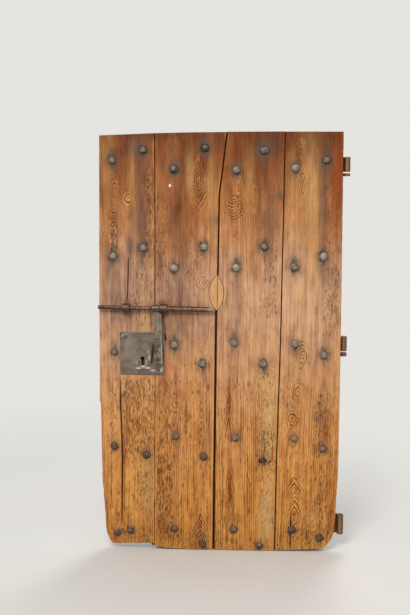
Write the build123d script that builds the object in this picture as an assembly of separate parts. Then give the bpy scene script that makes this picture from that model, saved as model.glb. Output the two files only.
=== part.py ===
from build123d import *
from math import cos, radians, sin
import os

os.makedirs("parts", exist_ok=True)

# Leaf. x runs across it from its middle, y from the front face to the back, z up from its foot
LEAF_W = 1080.0
LEAF_H = 1897.0
PLANK_T = 34.0
BATTEN_T = 28.0
BATTEN_H = 150.0
BATTEN_SHY = 24.0
LAP_D = 17.0
LAP_W = 16.0

# Nails that fix the planks to the battens
NAIL_HEAD_R = 16.0
NAIL_HEAD_H = 9.0
NAIL_SHANK = 7.0
CLENCH_L = 24.0
CLENCH_T = 4.0

# Sliding bolt, its staples and its hasp
ROD_Y = -20.0
ROD_TILT = 1.0
ROD_THIN_R = 9.0
ROD_THICK_R = 12.0
RUN = 0.3
STAPLE_WALL_THIN = 9.0
STAPLE_WALL_THICK = 7.7
STAPLE_W = 33.0
EYE_R = 16.0
EYE_W = 33.8
HASP_T = 6.0
HASP_W = 33.0
BLOCK_T = 9.0
BLOCK_W = 41.0
BLOCK_H = 95.0
LOOP_BAR = 5.0
LOOP_GAP = 18.0

# Lock, measured from the middle of the keyhole's round
PLATE_T = 2.5
PLATE_W = 202.0
PLATE_H = 196.5
KEY_R = 8.0
KEY_SLOT_W = 9.0
KEY_SLOT_L = 31.0
POCKET_D = 24.0
LATCH_T = 5.0
LATCH_H = 13.0
LATCH_L = 108.0

# Hinge straps and their rolled eyes
STRAP_T = 6.0
BORE_R = 9.0
STRAP_L = 380.0
STRAP_HALF = 38.0
KNUCKLE_GAP = 5.0


def across(x):
    # A place across the leaf, kept in proportion to its width
    return x * LEAF_W / 1080.0


def up(z):
    # A height on the leaf, kept in proportion to it
    return z * LEAF_H / 1897.0


BACK = PLANK_T + BATTEN_T
HINGE_X = LEAF_W / 2 + 3.0 + BORE_R + STRAP_T
HINGE_Y = BACK - BORE_R
ROD_X = across(-282.0)
ROD_Z = up(1125.0)
KEY_X = across(-344.5)
KEY_Z = up(896.0)
ROW_Z = [up(1779.0), up(1350.0), up(921.0), up(487.0), up(66.0)]
STRAP_Z = {"top": up(1757.0), "middle": up(941.0), "bottom": up(86.0)}
STRAP_TIP = LEAF_W / 2 - 16.0 - STRAP_L
LATCH_Z = KEY_Z + 38.5


def slab(points, front, back):
    # A flat piece with this outline in x and z, from y = front to y = back
    rim = Polyline([(x, front, z) for x, z in points], close=True)
    return extrude(make_face(rim), amount=back - front, dir=(0, 1, 0))


def block(x0, x1, y0, y1, z0, z1):
    middle = Pos((x0 + x1) / 2, (y0 + y1) / 2, (z0 + z1) / 2)
    return middle * Box(x1 - x0, y1 - y0, z1 - z0)


def round_bar(radius, x, y0, y1, z):
    # A round bar that runs from front to back
    return Pos(x, (y0 + y1) / 2, z) * Rot(90, 0, 0) * Cylinder(radius, y1 - y0)


def dome(radius, height, sides, turn):
    # A hammered head with flat facets, standing on y = 0 and rising to the front
    rings = []
    for share, rise in ((1.0, 0.0), (0.92, 0.4), (0.6, 0.8), (0.22, 1.0)):
        face = Plane((0, -rise * height, 0), x_dir=(1, 0, 0), z_dir=(0, -1, 0))
        rings.append(face * Rot(0, 0, turn) * RegularPolygon(radius * share, sides))
    return loft(rings, ruled=True)


# Seams between the planks, each point with the width of the gap there
SEAM_A = [(-283.0, 1897.0, 2.0), (-287.0, 1140.0, 2.0), (-289.0, 815.0, 1.0), (-298.0, 0.0, 1.0)]
SEAM_B = [(33.0, 1897.0, 4.0), (-1.0, 1624.0, 5.0), (-7.0, 1272.0, 6.0), (-14.0, 1112.0, 9.0), (-25.0, 0.0, 9.0)]
SEAM_C = [(284.0, 1897.0, 3.0), (274.0, 1029.0, 3.5), (262.0, 500.0, 4.0), (255.0, 0.0, 4.0)]


def left_of(seam, shift):
    return [(across(x) - gap / 2 - shift, up(z)) for x, z, gap in seam]


def right_of(seam, shift):
    return [(across(x) + gap / 2 - shift, up(z)) for x, z, gap in seam]


def trimmed(side, top, foot):
    # The same side, with its ends at the plank's own top and foot
    (x0, z0), (x1, z1) = side[0], side[1]
    start = (x0 + (x1 - x0) * (z0 - top) / (z0 - z1), top)
    (x2, z2), (x3, z3) = side[-2], side[-1]
    end = (x2 + (x3 - x2) * (z2 - foot) / (z2 - z3), foot)
    return [start] + side[1:-1] + [end]


# Heads step up and down along a row. The lock stands where the third row's second nail would be
HEADS = [
    [(-471, 1775), (-335, 1818), (-200, 1736), (-65, 1826), (74, 1732), (195, 1817), (330, 1740), (463, 1775)],
    [(-472, 1355), (-338, 1391), (-201, 1303), (-69, 1397), (73, 1305), (199, 1398), (332, 1310), (458, 1355)],
    [(-472, 924), (-202, 958), (-77, 873), (66, 970), (196, 876), (335, 966), (466, 916)],
    [(-477, 489), (-331, 449), (-199, 538), (-71, 444), (73, 534), (196, 434), (339, 534), (465, 489)],
    [(-468, 77), (-408, 92), (-204, 101), (-75, 27), (67, 101), (186, 27), (332, 106), (460, 67)],
]


def nail_places(row):
    return [(across(x), up(z)) for x, z in HEADS[row]]


def under_strap(row, x):
    return row in (0, 2, 4) and x > across(300.0)


def nail_back(row, x):
    # The nails near the hinges also pass through the strap
    return BACK + (STRAP_T if under_strap(row, x) else 0.0)


def nail_hole(row, x, z, start, end):
    half = NAIL_SHANK / 2
    return block(x - half, x + half, start, end, z - half, z + half)


def nail(row, column, x, z):
    end = nail_back(row, x)
    half = NAIL_SHANK / 2
    toward = -1 if x > 0 else 1
    head = Pos(x, 0, z) * dome(NAIL_HEAD_R, NAIL_HEAD_H, 8, 17.0 * column + 29.0 * row)
    shank = nail_hole(row, x, z, -1.0, end)
    heel = x - toward * half
    tip = x + toward * CLENCH_L
    rim = Polyline([(heel, end, z - half), (heel, end + CLENCH_T, z - half), (tip, end + 1.2, z - half), (tip, end, z - half)], close=True)
    clench = extrude(make_face(rim), amount=NAIL_SHANK, dir=(0, 0, 1))
    return head + shank + clench


def all_holes(row, start, end, test):
    return [nail_hole(row, x, z, start, end) for x, z in nail_places(row) if test(x)]


# Rod's own frame: x along the rod, its middle at the hasp's eye
def on_rod(shape):
    return Pos(ROD_X, ROD_Y, ROD_Z) * Rot(0, ROD_TILT, 0) * shape


ROD_LEFT = (-LEAF_W / 2 - ROD_X) / cos(radians(ROD_TILT))
ROD_RIGHT = (across(-23.0) - ROD_X) / cos(radians(ROD_TILT))
STAPLE_LEFT_X = across(-415.5) - ROD_X
STAPLE_RIGHT_X = EYE_W / 2 + 1.0 + STAPLE_W / 2


def bolt_rod():
    seat = EYE_W / 2 + 0.4
    lean = -ROD_RIGHT * 0.13
    outline = [
        (ROD_LEFT, 0.0),
        (ROD_LEFT, ROD_THIN_R - 2.0),
        (ROD_LEFT + 2.0, ROD_THIN_R),
        (-seat - 4.0, ROD_THIN_R),
        (-seat - 4.0, ROD_THICK_R + 0.5),
        (-seat, ROD_THICK_R + 0.5),
        (-seat, ROD_THIN_R),
        (seat, ROD_THIN_R),
        (seat, ROD_THICK_R),
        (ROD_RIGHT + lean, ROD_THICK_R),
        (ROD_RIGHT - 4.0, ROD_THICK_R * 0.62),
        (ROD_RIGHT, ROD_THICK_R * 0.3),
        (ROD_RIGHT, 0.0),
    ]
    rim = Polyline([(x, 0, r) for x, r in outline], close=True)
    return on_rod(revolve(make_face(rim), Axis.X, 360))


def staple(middle, bore, wall):
    # A band bent over the rod, with two spikes through the plank, clenched behind it
    front = -ROD_Y
    rad = bore + wall
    band = Pos(middle, 0, 0) * Rot(0, 90, 0) * Cylinder(rad, STAPLE_W)
    band = band + block(middle - STAPLE_W / 2, middle + STAPLE_W / 2, 0, front, -rad, rad)
    band = band - Pos(middle, 0, 0) * Rot(0, 90, 0) * Cylinder(bore, STAPLE_W + 2)
    band = band - block(middle - STAPLE_W, middle + STAPLE_W, 0, front + 1, -bore, bore)
    for side in (1, -1):
        band = band + spike(middle, side, (bore + wall / 2), front - 2.0)
        root = side * (bore + wall / 2)
        back = front + PLANK_T
        rim = Polyline([(middle - 4, back, root - side * 3), (middle - 4, back + 4, root - side * 3), (middle - 4, back + 1.5, root + side * 24), (middle - 4, back, root + side * 24)], close=True)
        band = band + extrude(make_face(rim), amount=8, dir=(1, 0, 0))
    return on_rod(band)


def spike(middle, side, reach, start):
    return block(middle - 4, middle + 4, start, -ROD_Y + PLANK_T, side * reach - 3, side * reach + 3)


def spike_holes(middle, bore, wall):
    reach = bore + wall / 2
    return [on_rod(spike(middle, side, reach, -ROD_Y - 1.0)) for side in (1, -1)]


THIN_BORE = ROD_THIN_R + RUN
THICK_BORE = ROD_THICK_R + RUN
LEFT_SPIKES = spike_holes(STAPLE_LEFT_X, THIN_BORE, STAPLE_WALL_THIN)
RIGHT_SPIKES = spike_holes(STAPLE_RIGHT_X, THICK_BORE, STAPLE_WALL_THICK)


# Hasp: an eye round the rod, a flat arm hanging from it and a thicker block with the loop behind it
BLOCK_TOP = LATCH_Z + 31.5
BLOCK_FOOT = BLOCK_TOP - BLOCK_H
ARM_X = ROD_X + 9.5
BLOCK_BACK = ROD_Y + 4.0
LOOP_X = ARM_X - 1.5


def loop_legs():
    low = LATCH_Z + 1.0 - LOOP_GAP / 2 - LOOP_BAR
    high = LATCH_Z + 1.0 + LOOP_GAP / 2
    return low, high


def hasp():
    eye = on_rod(Rot(0, 90, 0) * Cylinder(EYE_R, EYE_W))
    neck = ROD_Z - EYE_R + 2.0
    shoulder = ROD_Z - THICK_BORE - STAPLE_WALL_THICK - 4.0
    left = ARM_X - HASP_W / 2
    right = ARM_X + HASP_W / 2
    inner = ROD_X + EYE_W / 2 - 1.0
    arm = slab([(left, neck), (inner, neck), (inner, shoulder), (right, shoulder - 3), (right, BLOCK_TOP - 2), (left, BLOCK_TOP - 2)], ROD_Y - HASP_T / 2, ROD_Y + HASP_T / 2)
    wide = BLOCK_W / 2
    foot = slab([(ARM_X - wide, BLOCK_TOP), (ARM_X + wide, BLOCK_TOP), (ARM_X + wide, BLOCK_FOOT + 5), (ARM_X + wide - 5, BLOCK_FOOT), (ARM_X - wide + 5, BLOCK_FOOT), (ARM_X - wide, BLOCK_FOOT + 5)], BLOCK_BACK - BLOCK_T, BLOCK_BACK)
    body = eye + arm + foot
    body = body - on_rod(Rot(0, 90, 0) * Cylinder(THIN_BORE, EYE_W + 2))
    half = LOOP_BAR / 2
    for z in loop_legs():
        body = body - block(LOOP_X - half, LOOP_X + half, BLOCK_BACK - BLOCK_T - 1, BLOCK_BACK + 1, z, z + LOOP_BAR)
    return body


def hasp_loop():
    low, high = loop_legs()
    half = LOOP_BAR / 2
    front = BLOCK_BACK - BLOCK_T
    tip = -PLATE_T - RUN
    bar = block(LOOP_X - half, LOOP_X + half, tip - LOOP_BAR, tip, low, high + LOOP_BAR)
    for z in (low, high):
        bar = bar + block(LOOP_X - half, LOOP_X + half, front - 1, tip - 1, z, z + LOOP_BAR)
        bar = bar + Pos(LOOP_X, front, z + half) * dome(5.5, 2.6, 8, 10)
    return bar


# Lock: plate on the face of the door, its works in a pocket behind it
PLATE_LEFT = KEY_X - 102.5
PLATE_RIGHT = PLATE_LEFT + PLATE_W
PLATE_FOOT = KEY_Z - 76.0
PLATE_TOP = PLATE_FOOT + PLATE_H
PLATE_NAILS = [
    (PLATE_LEFT + 21.0, PLATE_TOP - 24.0, 8.0, 4.0),
    (PLATE_LEFT + 17.0, PLATE_FOOT + 20.0, 7.0, 3.0),
    (PLATE_RIGHT - 28.0, PLATE_FOOT + 24.0, 9.5, 5.5),
    (PLATE_RIGHT - 19.0, PLATE_TOP - 18.0, 7.0, 3.5),
]
RIVETS = [(KEY_X - 16.5, KEY_Z - 19.0), (KEY_X + 13.0, KEY_Z - 18.5), (KEY_X - 67.5, KEY_Z - 10.0)]
SPRING_Z = KEY_Z + 75.0


def pocket():
    return block(KEY_X - 81, KEY_X + 91, -1, POCKET_D, KEY_Z - 35, KEY_Z + 89)


def plate_nail_shank(x, z, start):
    return block(x - 2, x + 2, start, 26, z - 2, z + 2)


def keyhole():
    slot = block(KEY_X - KEY_SLOT_W / 2, KEY_X + KEY_SLOT_W / 2, -PLATE_T - 1, 1, KEY_Z - KEY_SLOT_L, KEY_Z)
    return round_bar(KEY_R, KEY_X, -PLATE_T - 1, 1, KEY_Z) + slot


def lock_plate():
    inset = 3.0
    rim = [
        (PLATE_LEFT + inset, PLATE_TOP), (PLATE_RIGHT - inset, PLATE_TOP),
        (PLATE_RIGHT, PLATE_TOP - inset), (PLATE_RIGHT, PLATE_FOOT + inset),
        (PLATE_RIGHT - inset, PLATE_FOOT), (PLATE_LEFT + inset, PLATE_FOOT),
        (PLATE_LEFT, PLATE_FOOT + inset), (PLATE_LEFT, PLATE_TOP - inset),
    ]
    plate = slab(rim, -PLATE_T, 0) - keyhole()
    low, high = loop_legs()
    plate = plate - block(LOOP_X - 6, LOOP_X + 6, -PLATE_T - 1, 1, low - 5, high + LOOP_BAR + 5)
    plate = plate - block(KEY_X - 9, KEY_X + 18, -PLATE_T - 1, 1, SPRING_Z - 1.2, SPRING_Z + 1.2)
    for x, z, radius, rise in PLATE_NAILS:
        plate = plate - plate_nail_shank(x, z, -PLATE_T - 1)
    for x, z in RIVETS:
        plate = plate - round_bar(2, x, -PLATE_T - 1, 1, z)
    return plate


def lock_plate_nails():
    made = []
    for number, (x, z, radius, rise) in enumerate(PLATE_NAILS):
        head = Pos(x, -PLATE_T, z) * dome(radius, rise, 8, 31 * number)
        made.append(head + plate_nail_shank(x, z, -PLATE_T - 0.5))
    return made


def lock_rivets():
    made = []
    for x, z in RIVETS:
        end = 4.5 if x > KEY_X - 30 else 0.0
        rivet = round_bar(2, x, -PLATE_T - 0.5, end, z) + Pos(x, -PLATE_T, z) * dome(4.5, 1.6, 8, 0)
        if end == 0:
            rivet = rivet + round_bar(4, x, 0, 1.5, z)
        made.append(rivet)
    return made


def lock_wards():
    # Two thin arcs that the key's bit has to clear, each on a riveted foot
    ring = round_bar(25, KEY_X, 0, 7, KEY_Z) - round_bar(22.5, KEY_X, -1, 8, KEY_Z)
    made = []
    for side, (x, z) in zip((-1, 1), RIVETS[:2]):
        near, far = sorted((KEY_X + side * 7, KEY_X + side * 30))
        arc = ring & block(near, far, -1, 8, KEY_Z - 30, KEY_Z + 12)
        made.append(arc + round_bar(5, x, 0, 3, z) - round_bar(2, x, -1, 8, z))
    return made


def lock_bolt():
    right = LOOP_X - 15.0
    low = LATCH_Z - LATCH_H / 2
    bar = block(right - LATCH_L, right, 0.5, 0.5 + LATCH_T, low, low + LATCH_H)
    for x in (KEY_X - 12, KEY_X + 6):
        bar = bar + block(x, x + 6, 0.5, 0.5 + LATCH_T, low - 7, low + 1)
    return bar


def lock_guides():
    made = []
    low = LATCH_Z - LATCH_H / 2
    high = LATCH_Z + LATCH_H / 2
    for x in (KEY_X - 27, LOOP_X - 26):
        strap = block(x, x + 8, 0, 9, low - 7, high + 7)
        made.append(strap - block(x - 1, x + 9, -1, 0.5 + LATCH_T + RUN, low - RUN, high + RUN))
    return made


def lock_spring():
    # A flat spring, its foot through the plate and its end on the bolt's top edge
    tip = LATCH_Z + LATCH_H / 2 + RUN
    half = 1.2
    line = [
        (-PLATE_T - 0.5, SPRING_Z + half), (9, SPRING_Z + half), (13, SPRING_Z - 3), (13, SPRING_Z - 11),
        (5.5, tip + 3), (4.2, tip), (2.2, tip + 1), (10.6, SPRING_Z - 11), (10.6, SPRING_Z - 4),
        (8, SPRING_Z - half), (-PLATE_T - 0.5, SPRING_Z - half),
    ]
    rim = Polyline([(KEY_X - 9, y, z) for y, z in line], close=True)
    return extrude(make_face(rim), amount=27, dir=(1, 0, 0))


# Let-in repair over the seam: two halves of a pointed oval, one in each plank
PATCH_TOP = up(1273.0)
PATCH_MID = up(1190.0)
PATCH_FOOT = up(1112.0)
PATCH_X = across(-9.0)
PATCH_D = 15.0


def patch(side, reach):
    inner = PATCH_X + side * 0.8
    ends = (inner, 0, PATCH_TOP), (inner, 0, PATCH_FOOT)
    bow = ThreePointArc(ends[0], (PATCH_X + side * reach, 0, PATCH_MID), ends[1])
    return extrude(make_face(bow + Line(ends[1], ends[0])), amount=PATCH_D, dir=(0, 1, 0))


def cracks(number):
    # Open splits in the face of the plank, narrow at both ends
    runs = {
        1: [
            ([(-446, 822), (-447, 679), (-443, 586), (-442, 446), (-447, 109)], 4.0, 22.0),
            ([(-403, 1355), (-407, 1255), (-410, 1159)], 2.2, 12.0),
        ],
        2: [([(-247, 1012), (-243, 995), (-239, 974)], 5.0, 12.0)],
        4: [([(328, 176), (327, 90), (327.5, 2)], 2.0, 16.0)],
    }
    made = []
    for line, width, depth in runs.get(number, []):
        places = [(across(x), up(z)) for x, z in line]
        left = [(x - width / 2, z) for x, z in places[1:-1]]
        right = [(x + width / 2, z) for x, z in places[1:-1]]
        rim = [places[0]] + right + [places[-1]] + left[::-1]
        made.append(slab(rim, -1, depth))
    return made


def plank_outline(number, shift):
    # Each seam is a half lap: the right plank's back half reaches behind the left one by the shift
    half = LEAF_W / 2
    if number == 1:
        top, foot = up(1891), up(26)
        worn = [(-492, 23), (-508, 50), (-521, 88), (-528, 232), (-535, 327), (-537, 688), (-542, 698), (-537, 1158)]
        side = [(across(x), up(z)) for x, z in worn]
        return trimmed(left_of(SEAM_A, shift), top, foot) + side + [(across(-527), up(1882))]
    if number == 2:
        top, foot = up(1894), 0.0
        low = [(across(-85), 0.0), (across(-247), up(5)), (across(-288), up(14))]
        return trimmed(left_of(SEAM_B, shift), top, foot) + low + trimmed(right_of(SEAM_A, shift), up(1892), up(22))[::-1]
    if number == 3:
        top, foot = up(1897), 0.0
        return trimmed(left_of(SEAM_C, shift), top, foot) + trimmed(right_of(SEAM_B, shift), top, foot)[::-1]
    top, foot = up(1896), up(2)
    worn = [(half, 1031), (half, 391), (535, 250), (530, 155), (523, 84), (497, 36), (475, 16), (374, 6)]
    side = [(across(x) if abs(x) < half else x, up(z)) for x, z in worn]
    return [(across(535), up(1895))] + side + trimmed(right_of(SEAM_C, shift), top, foot)[::-1]


PLANK_SPANS = [(-600, -290), (-290, -10), (-10, 268), (268, 600)]


def plank(number, patches):
    low, high = PLANK_SPANS[number - 1]
    wood = slab(plank_outline(number, 0), 0, LAP_D) + slab(plank_outline(number, LAP_W), LAP_D, PLANK_T)
    cuts = cracks(number)
    for row in range(5):
        cuts += all_holes(row, -1, PLANK_T + 1, lambda x: across(low) < x < across(high))
    if number in (1, 2):
        cuts.append(pocket())
        cuts += [plate_nail_shank(x, z, -1) for x, z, radius, rise in PLATE_NAILS]
        cuts += LEFT_SPIKES if number == 1 else RIGHT_SPIKES
    if number in (2, 3):
        cuts.append(patches[number - 2])
    cuts += hinge_nail_shanks() if number in (3, 4) else []
    return wood - cuts


def batten(row):
    half = LEAF_W / 2 - BATTEN_SHY
    z = ROW_Z[row]
    rim = [(-half, z - BATTEN_H / 2), (half, z - BATTEN_H / 2), (half, z + BATTEN_H / 2), (-half, z + BATTEN_H / 2)]
    if row == 4:
        low = [(500, 66), (476, 24), (440, 10), (-228, 10), (-292, 36), (-476, 36), (-500, 66)]
        rim = [(-half, up(90)), (-half, up(148)), (half, up(148)), (half, up(100))]
        rim += [(across(x), up(z)) for x, z in low]
    wood = slab(rim, PLANK_T, BACK)
    holes = all_holes(row, PLANK_T - 1, BACK + 1, lambda x: True)
    return wood - (holes + hinge_nail_shanks())


HINGE_NAIL_X = [LEAF_W / 2 - 36, LEAF_W / 2 - 136, LEAF_W / 2 - 312]
EYES = {
    "top": [(up(1724), up(1790)), (up(1724) - KNUCKLE_GAP - 14, up(1724) - KNUCKLE_GAP)],
    "middle": [(up(926), up(995)), (up(926) - KNUCKLE_GAP - 18, up(926) - KNUCKLE_GAP)],
    "bottom": [(up(69), up(163))],
}


def hinge_nail_shank(x, z, start):
    return block(x - 2.5, x + 2.5, 22, start, z - 2.5, z + 2.5)


def hinge_nail_shanks():
    return [hinge_nail_shank(x, z, BACK + STRAP_T + 1) for z in STRAP_Z.values() for x in HINGE_NAIL_X]


def hinge_nails(name):
    made = []
    back = BACK + STRAP_T
    for number, x in enumerate(HINGE_NAIL_X):
        z = STRAP_Z[name]
        head = Pos(x, back, z) * Rot(180, 0, 0) * dome(7.5, 3.2, 8, 23 * number)
        made.append(head + hinge_nail_shank(x, z, back + 0.5))
    return made


def hinge(name):
    # A strap tapering to a rounded point, its wide end rolled into an eye for a wall pin
    z = STRAP_Z[name]
    row = ("top", "middle", "bottom").index(name) * 2
    knuckles = EYES[name]
    high = max(end for start, end in knuckles)
    low = min(start for start, end in knuckles)
    neck = LEAF_W / 2 - 10
    rim = [
        (STRAP_TIP, z - 10), (STRAP_TIP + 14, z - 20), (STRAP_TIP + 175, z - STRAP_HALF + 1),
        (neck - 14, z - STRAP_HALF), (neck, low), (HINGE_X, low),
        (HINGE_X, high), (neck, high), (neck - 14, z + STRAP_HALF),
        (STRAP_TIP + 175, z + STRAP_HALF - 1), (STRAP_TIP + 14, z + 20), (STRAP_TIP, z + 10),
    ]
    strap = slab(rim, BACK, BACK + STRAP_T)
    for start, end in knuckles:
        roll = Pos(HINGE_X, HINGE_Y, (start + end) / 2) * Cylinder(BORE_R + STRAP_T, end - start)
        strap = strap + roll
    strap = strap - Pos(HINGE_X, HINGE_Y, (low + high) / 2) * Cylinder(BORE_R, high - low + 2)
    if len(knuckles) == 2:
        slot_top = knuckles[0][0]
        slot_foot = knuckles[1][1]
        strap = strap - block(LEAF_W / 2 - 1, HINGE_X + 30, HINGE_Y - 30, BACK + STRAP_T + 1, slot_foot, slot_top)
    holes = [nail_hole(row, x, nz, BACK - 1, BACK + STRAP_T + 1) for x, nz in nail_places(row) if under_strap(row, x)]
    holes += [hinge_nail_shank(x, z, BACK + STRAP_T + 1) for x in HINGE_NAIL_X]
    return strap - holes


def place(shape):
    # The object's own origin is the middle of the lowest hinge eye
    start, end = EYES["bottom"][0]
    return Pos(-HINGE_X, -HINGE_Y, -(start + end) / 2) * shape


def save(name, made):
    solids = made if isinstance(made, list) else [made]
    moved = [place(solid) for solid in solids]
    export_step(moved[0] if len(moved) == 1 else Compound(children=moved), "parts/" + name + ".step")


patches = [patch(-1, 37.0), patch(1, 28.0)]
save("patch_left", patches[0])
save("patch_right", patches[1])
for number in (1, 2, 3, 4):
    save("plank_" + str(number), plank(number, patches))
for row in range(5):
    save("batten_" + str(row + 1), batten(row))
    save("nails_row_" + str(row + 1), [nail(row, column, x, z) for column, (x, z) in enumerate(nail_places(row))])
save("bolt_rod", bolt_rod())
save("bolt_staple_left", staple(STAPLE_LEFT_X, THIN_BORE, STAPLE_WALL_THIN))
save("bolt_staple_right", staple(STAPLE_RIGHT_X, THICK_BORE, STAPLE_WALL_THICK))
save("hasp", hasp())
save("hasp_loop", hasp_loop())
save("lock_plate", lock_plate())
save("lock_plate_nails", lock_plate_nails())
save("lock_rivets", lock_rivets())
save("lock_wards", lock_wards())
save("lock_bolt", lock_bolt())
save("lock_guides", lock_guides())
save("lock_spring", lock_spring())
for name in ("top", "middle", "bottom"):
    save("hinge_" + name, hinge(name))
    save("hinge_nails_" + name, hinge_nails(name))
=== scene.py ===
from math import cos, pi, radians, sin

import bmesh
import bpy
import numpy as np
from mathutils import Matrix, Vector


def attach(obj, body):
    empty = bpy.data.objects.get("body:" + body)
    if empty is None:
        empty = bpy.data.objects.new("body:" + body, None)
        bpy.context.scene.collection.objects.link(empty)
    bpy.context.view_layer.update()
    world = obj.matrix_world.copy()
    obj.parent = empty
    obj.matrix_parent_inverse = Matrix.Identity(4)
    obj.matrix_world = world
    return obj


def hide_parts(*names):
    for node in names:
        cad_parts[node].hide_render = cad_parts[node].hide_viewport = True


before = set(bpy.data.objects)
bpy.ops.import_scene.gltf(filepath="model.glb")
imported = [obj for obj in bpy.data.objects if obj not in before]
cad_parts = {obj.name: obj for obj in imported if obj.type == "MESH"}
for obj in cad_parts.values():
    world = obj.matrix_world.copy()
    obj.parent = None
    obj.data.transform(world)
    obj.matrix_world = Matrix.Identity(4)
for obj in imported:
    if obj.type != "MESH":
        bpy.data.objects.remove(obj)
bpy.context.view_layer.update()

# The leaf is measured in mm: x across from its middle, y from the front face to the back, z up from its foot.
# The object's own origin is the middle of the lowest hinge eye
ORIGIN = np.array((558.0, 53.0, 116.0))
LEAF_H = 1897.0
PLANK_T = 34.0
# Depth and width of the half laps at the seams
LAP_D = 17.0
LAP_W = 16.0
# The rear face of the battens
BACK = 62.0


def metres(points):
    # From the leaf's mm to the object's own metres
    return (np.asarray(points, dtype=float) - ORIGIN) / 1000.0


def along(line, z):
    # x of a line of (x, z) points at the heights z
    heights = [p[1] for p in line]
    order = np.argsort(heights)
    return np.interp(z, np.array(heights, float)[order], np.array([p[0] for p in line], float)[order])


def level(line, x):
    # z of a line of (x, z) points at the places x
    return np.interp(x, [p[0] for p in line], [p[1] for p in line])


def soft_noise(x, z, size_x, size_z, seed):
    # Smooth random values from -1 to 1 in blobs of the given size in mm, which repeat after 256 blobs.
    # The shift keeps the corners of the lattice off the round numbers of the leaf
    lattice = np.random.default_rng(seed).uniform(-1, 1, (256, 256))
    u = x / size_x + 1000.37
    v = z / size_z + 1000.61
    i = np.floor(u).astype(int)
    j = np.floor(v).astype(int)
    s = u - i
    t = v - j
    s = s * s * (3 - 2 * s)
    t = t * t * (3 - 2 * t)
    low = lattice[i % 256, j % 256] * (1 - s) + lattice[(i + 1) % 256, j % 256] * s
    high = lattice[i % 256, (j + 1) % 256] * (1 - s) + lattice[(i + 1) % 256, (j + 1) % 256] * s
    return low * (1 - t) + high * t


def spot(x, z, place, size):
    # 1 at the place, fading to 0 over its size across and up
    return np.exp(-((x - place[0]) / size[0]) ** 2 - ((z - place[1]) / size[1]) ** 2)


def smooth_step(value):
    # Eases from 0 to 1 as the value goes from 0 to 1
    value = np.clip(value, 0.0, 1.0)
    return value * value * (3 - 2 * value)


# Materials

# Patterns are laid in metres, so a scale of 1000 makes one about 1 mm wide, and 100 makes it 10 mm.
# What a mix of two colours asks for, plain and laid over
COLOURS = {"give": 2, "data_type": "RGBA"}
OVERLAY = {"give": 2, "data_type": "RGBA", "blend_type": "OVERLAY"}


def linear(hex_colour):
    # An sRGB hex colour as linear values
    parts = [int(hex_colour[i:i + 2], 16) / 255 for i in (1, 3, 5)]
    return tuple(p / 12.92 if p <= 0.04045 else ((p + 0.055) / 1.055) ** 2.4 for p in parts) + (1.0,)


def add(tree, kind, links=(), stops=(), give=0, **settings):
    # Adds one node with its settings. Links are values or other nodes' outputs, in order or by socket.
    # Stops are the places and colours of a ramp. Gives back one of the node's outputs
    node = tree.nodes.new("ShaderNode" + kind)
    for name, value in settings.items():
        setattr(node, name, value)
    for socket, source in (links.items() if isinstance(links, dict) else enumerate(links)):
        if isinstance(source, bpy.types.NodeSocket):
            tree.links.new(source, node.inputs[socket])
        else:
            node.inputs[socket].default_value = source
    for number, (place, colour) in enumerate(stops):
        elements = node.color_ramp.elements
        element = elements[number] if number < 2 else elements.new(place)
        element.position = place
        element.color = linear(colour) if isinstance(colour, str) else (colour, colour, colour, 1.0)
    return node.outputs[give] if node.outputs else node


def new_material(name):
    material = bpy.data.materials.new(name)
    material.use_nodes = True
    material.node_tree.nodes.clear()
    return material, material.node_tree


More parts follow.
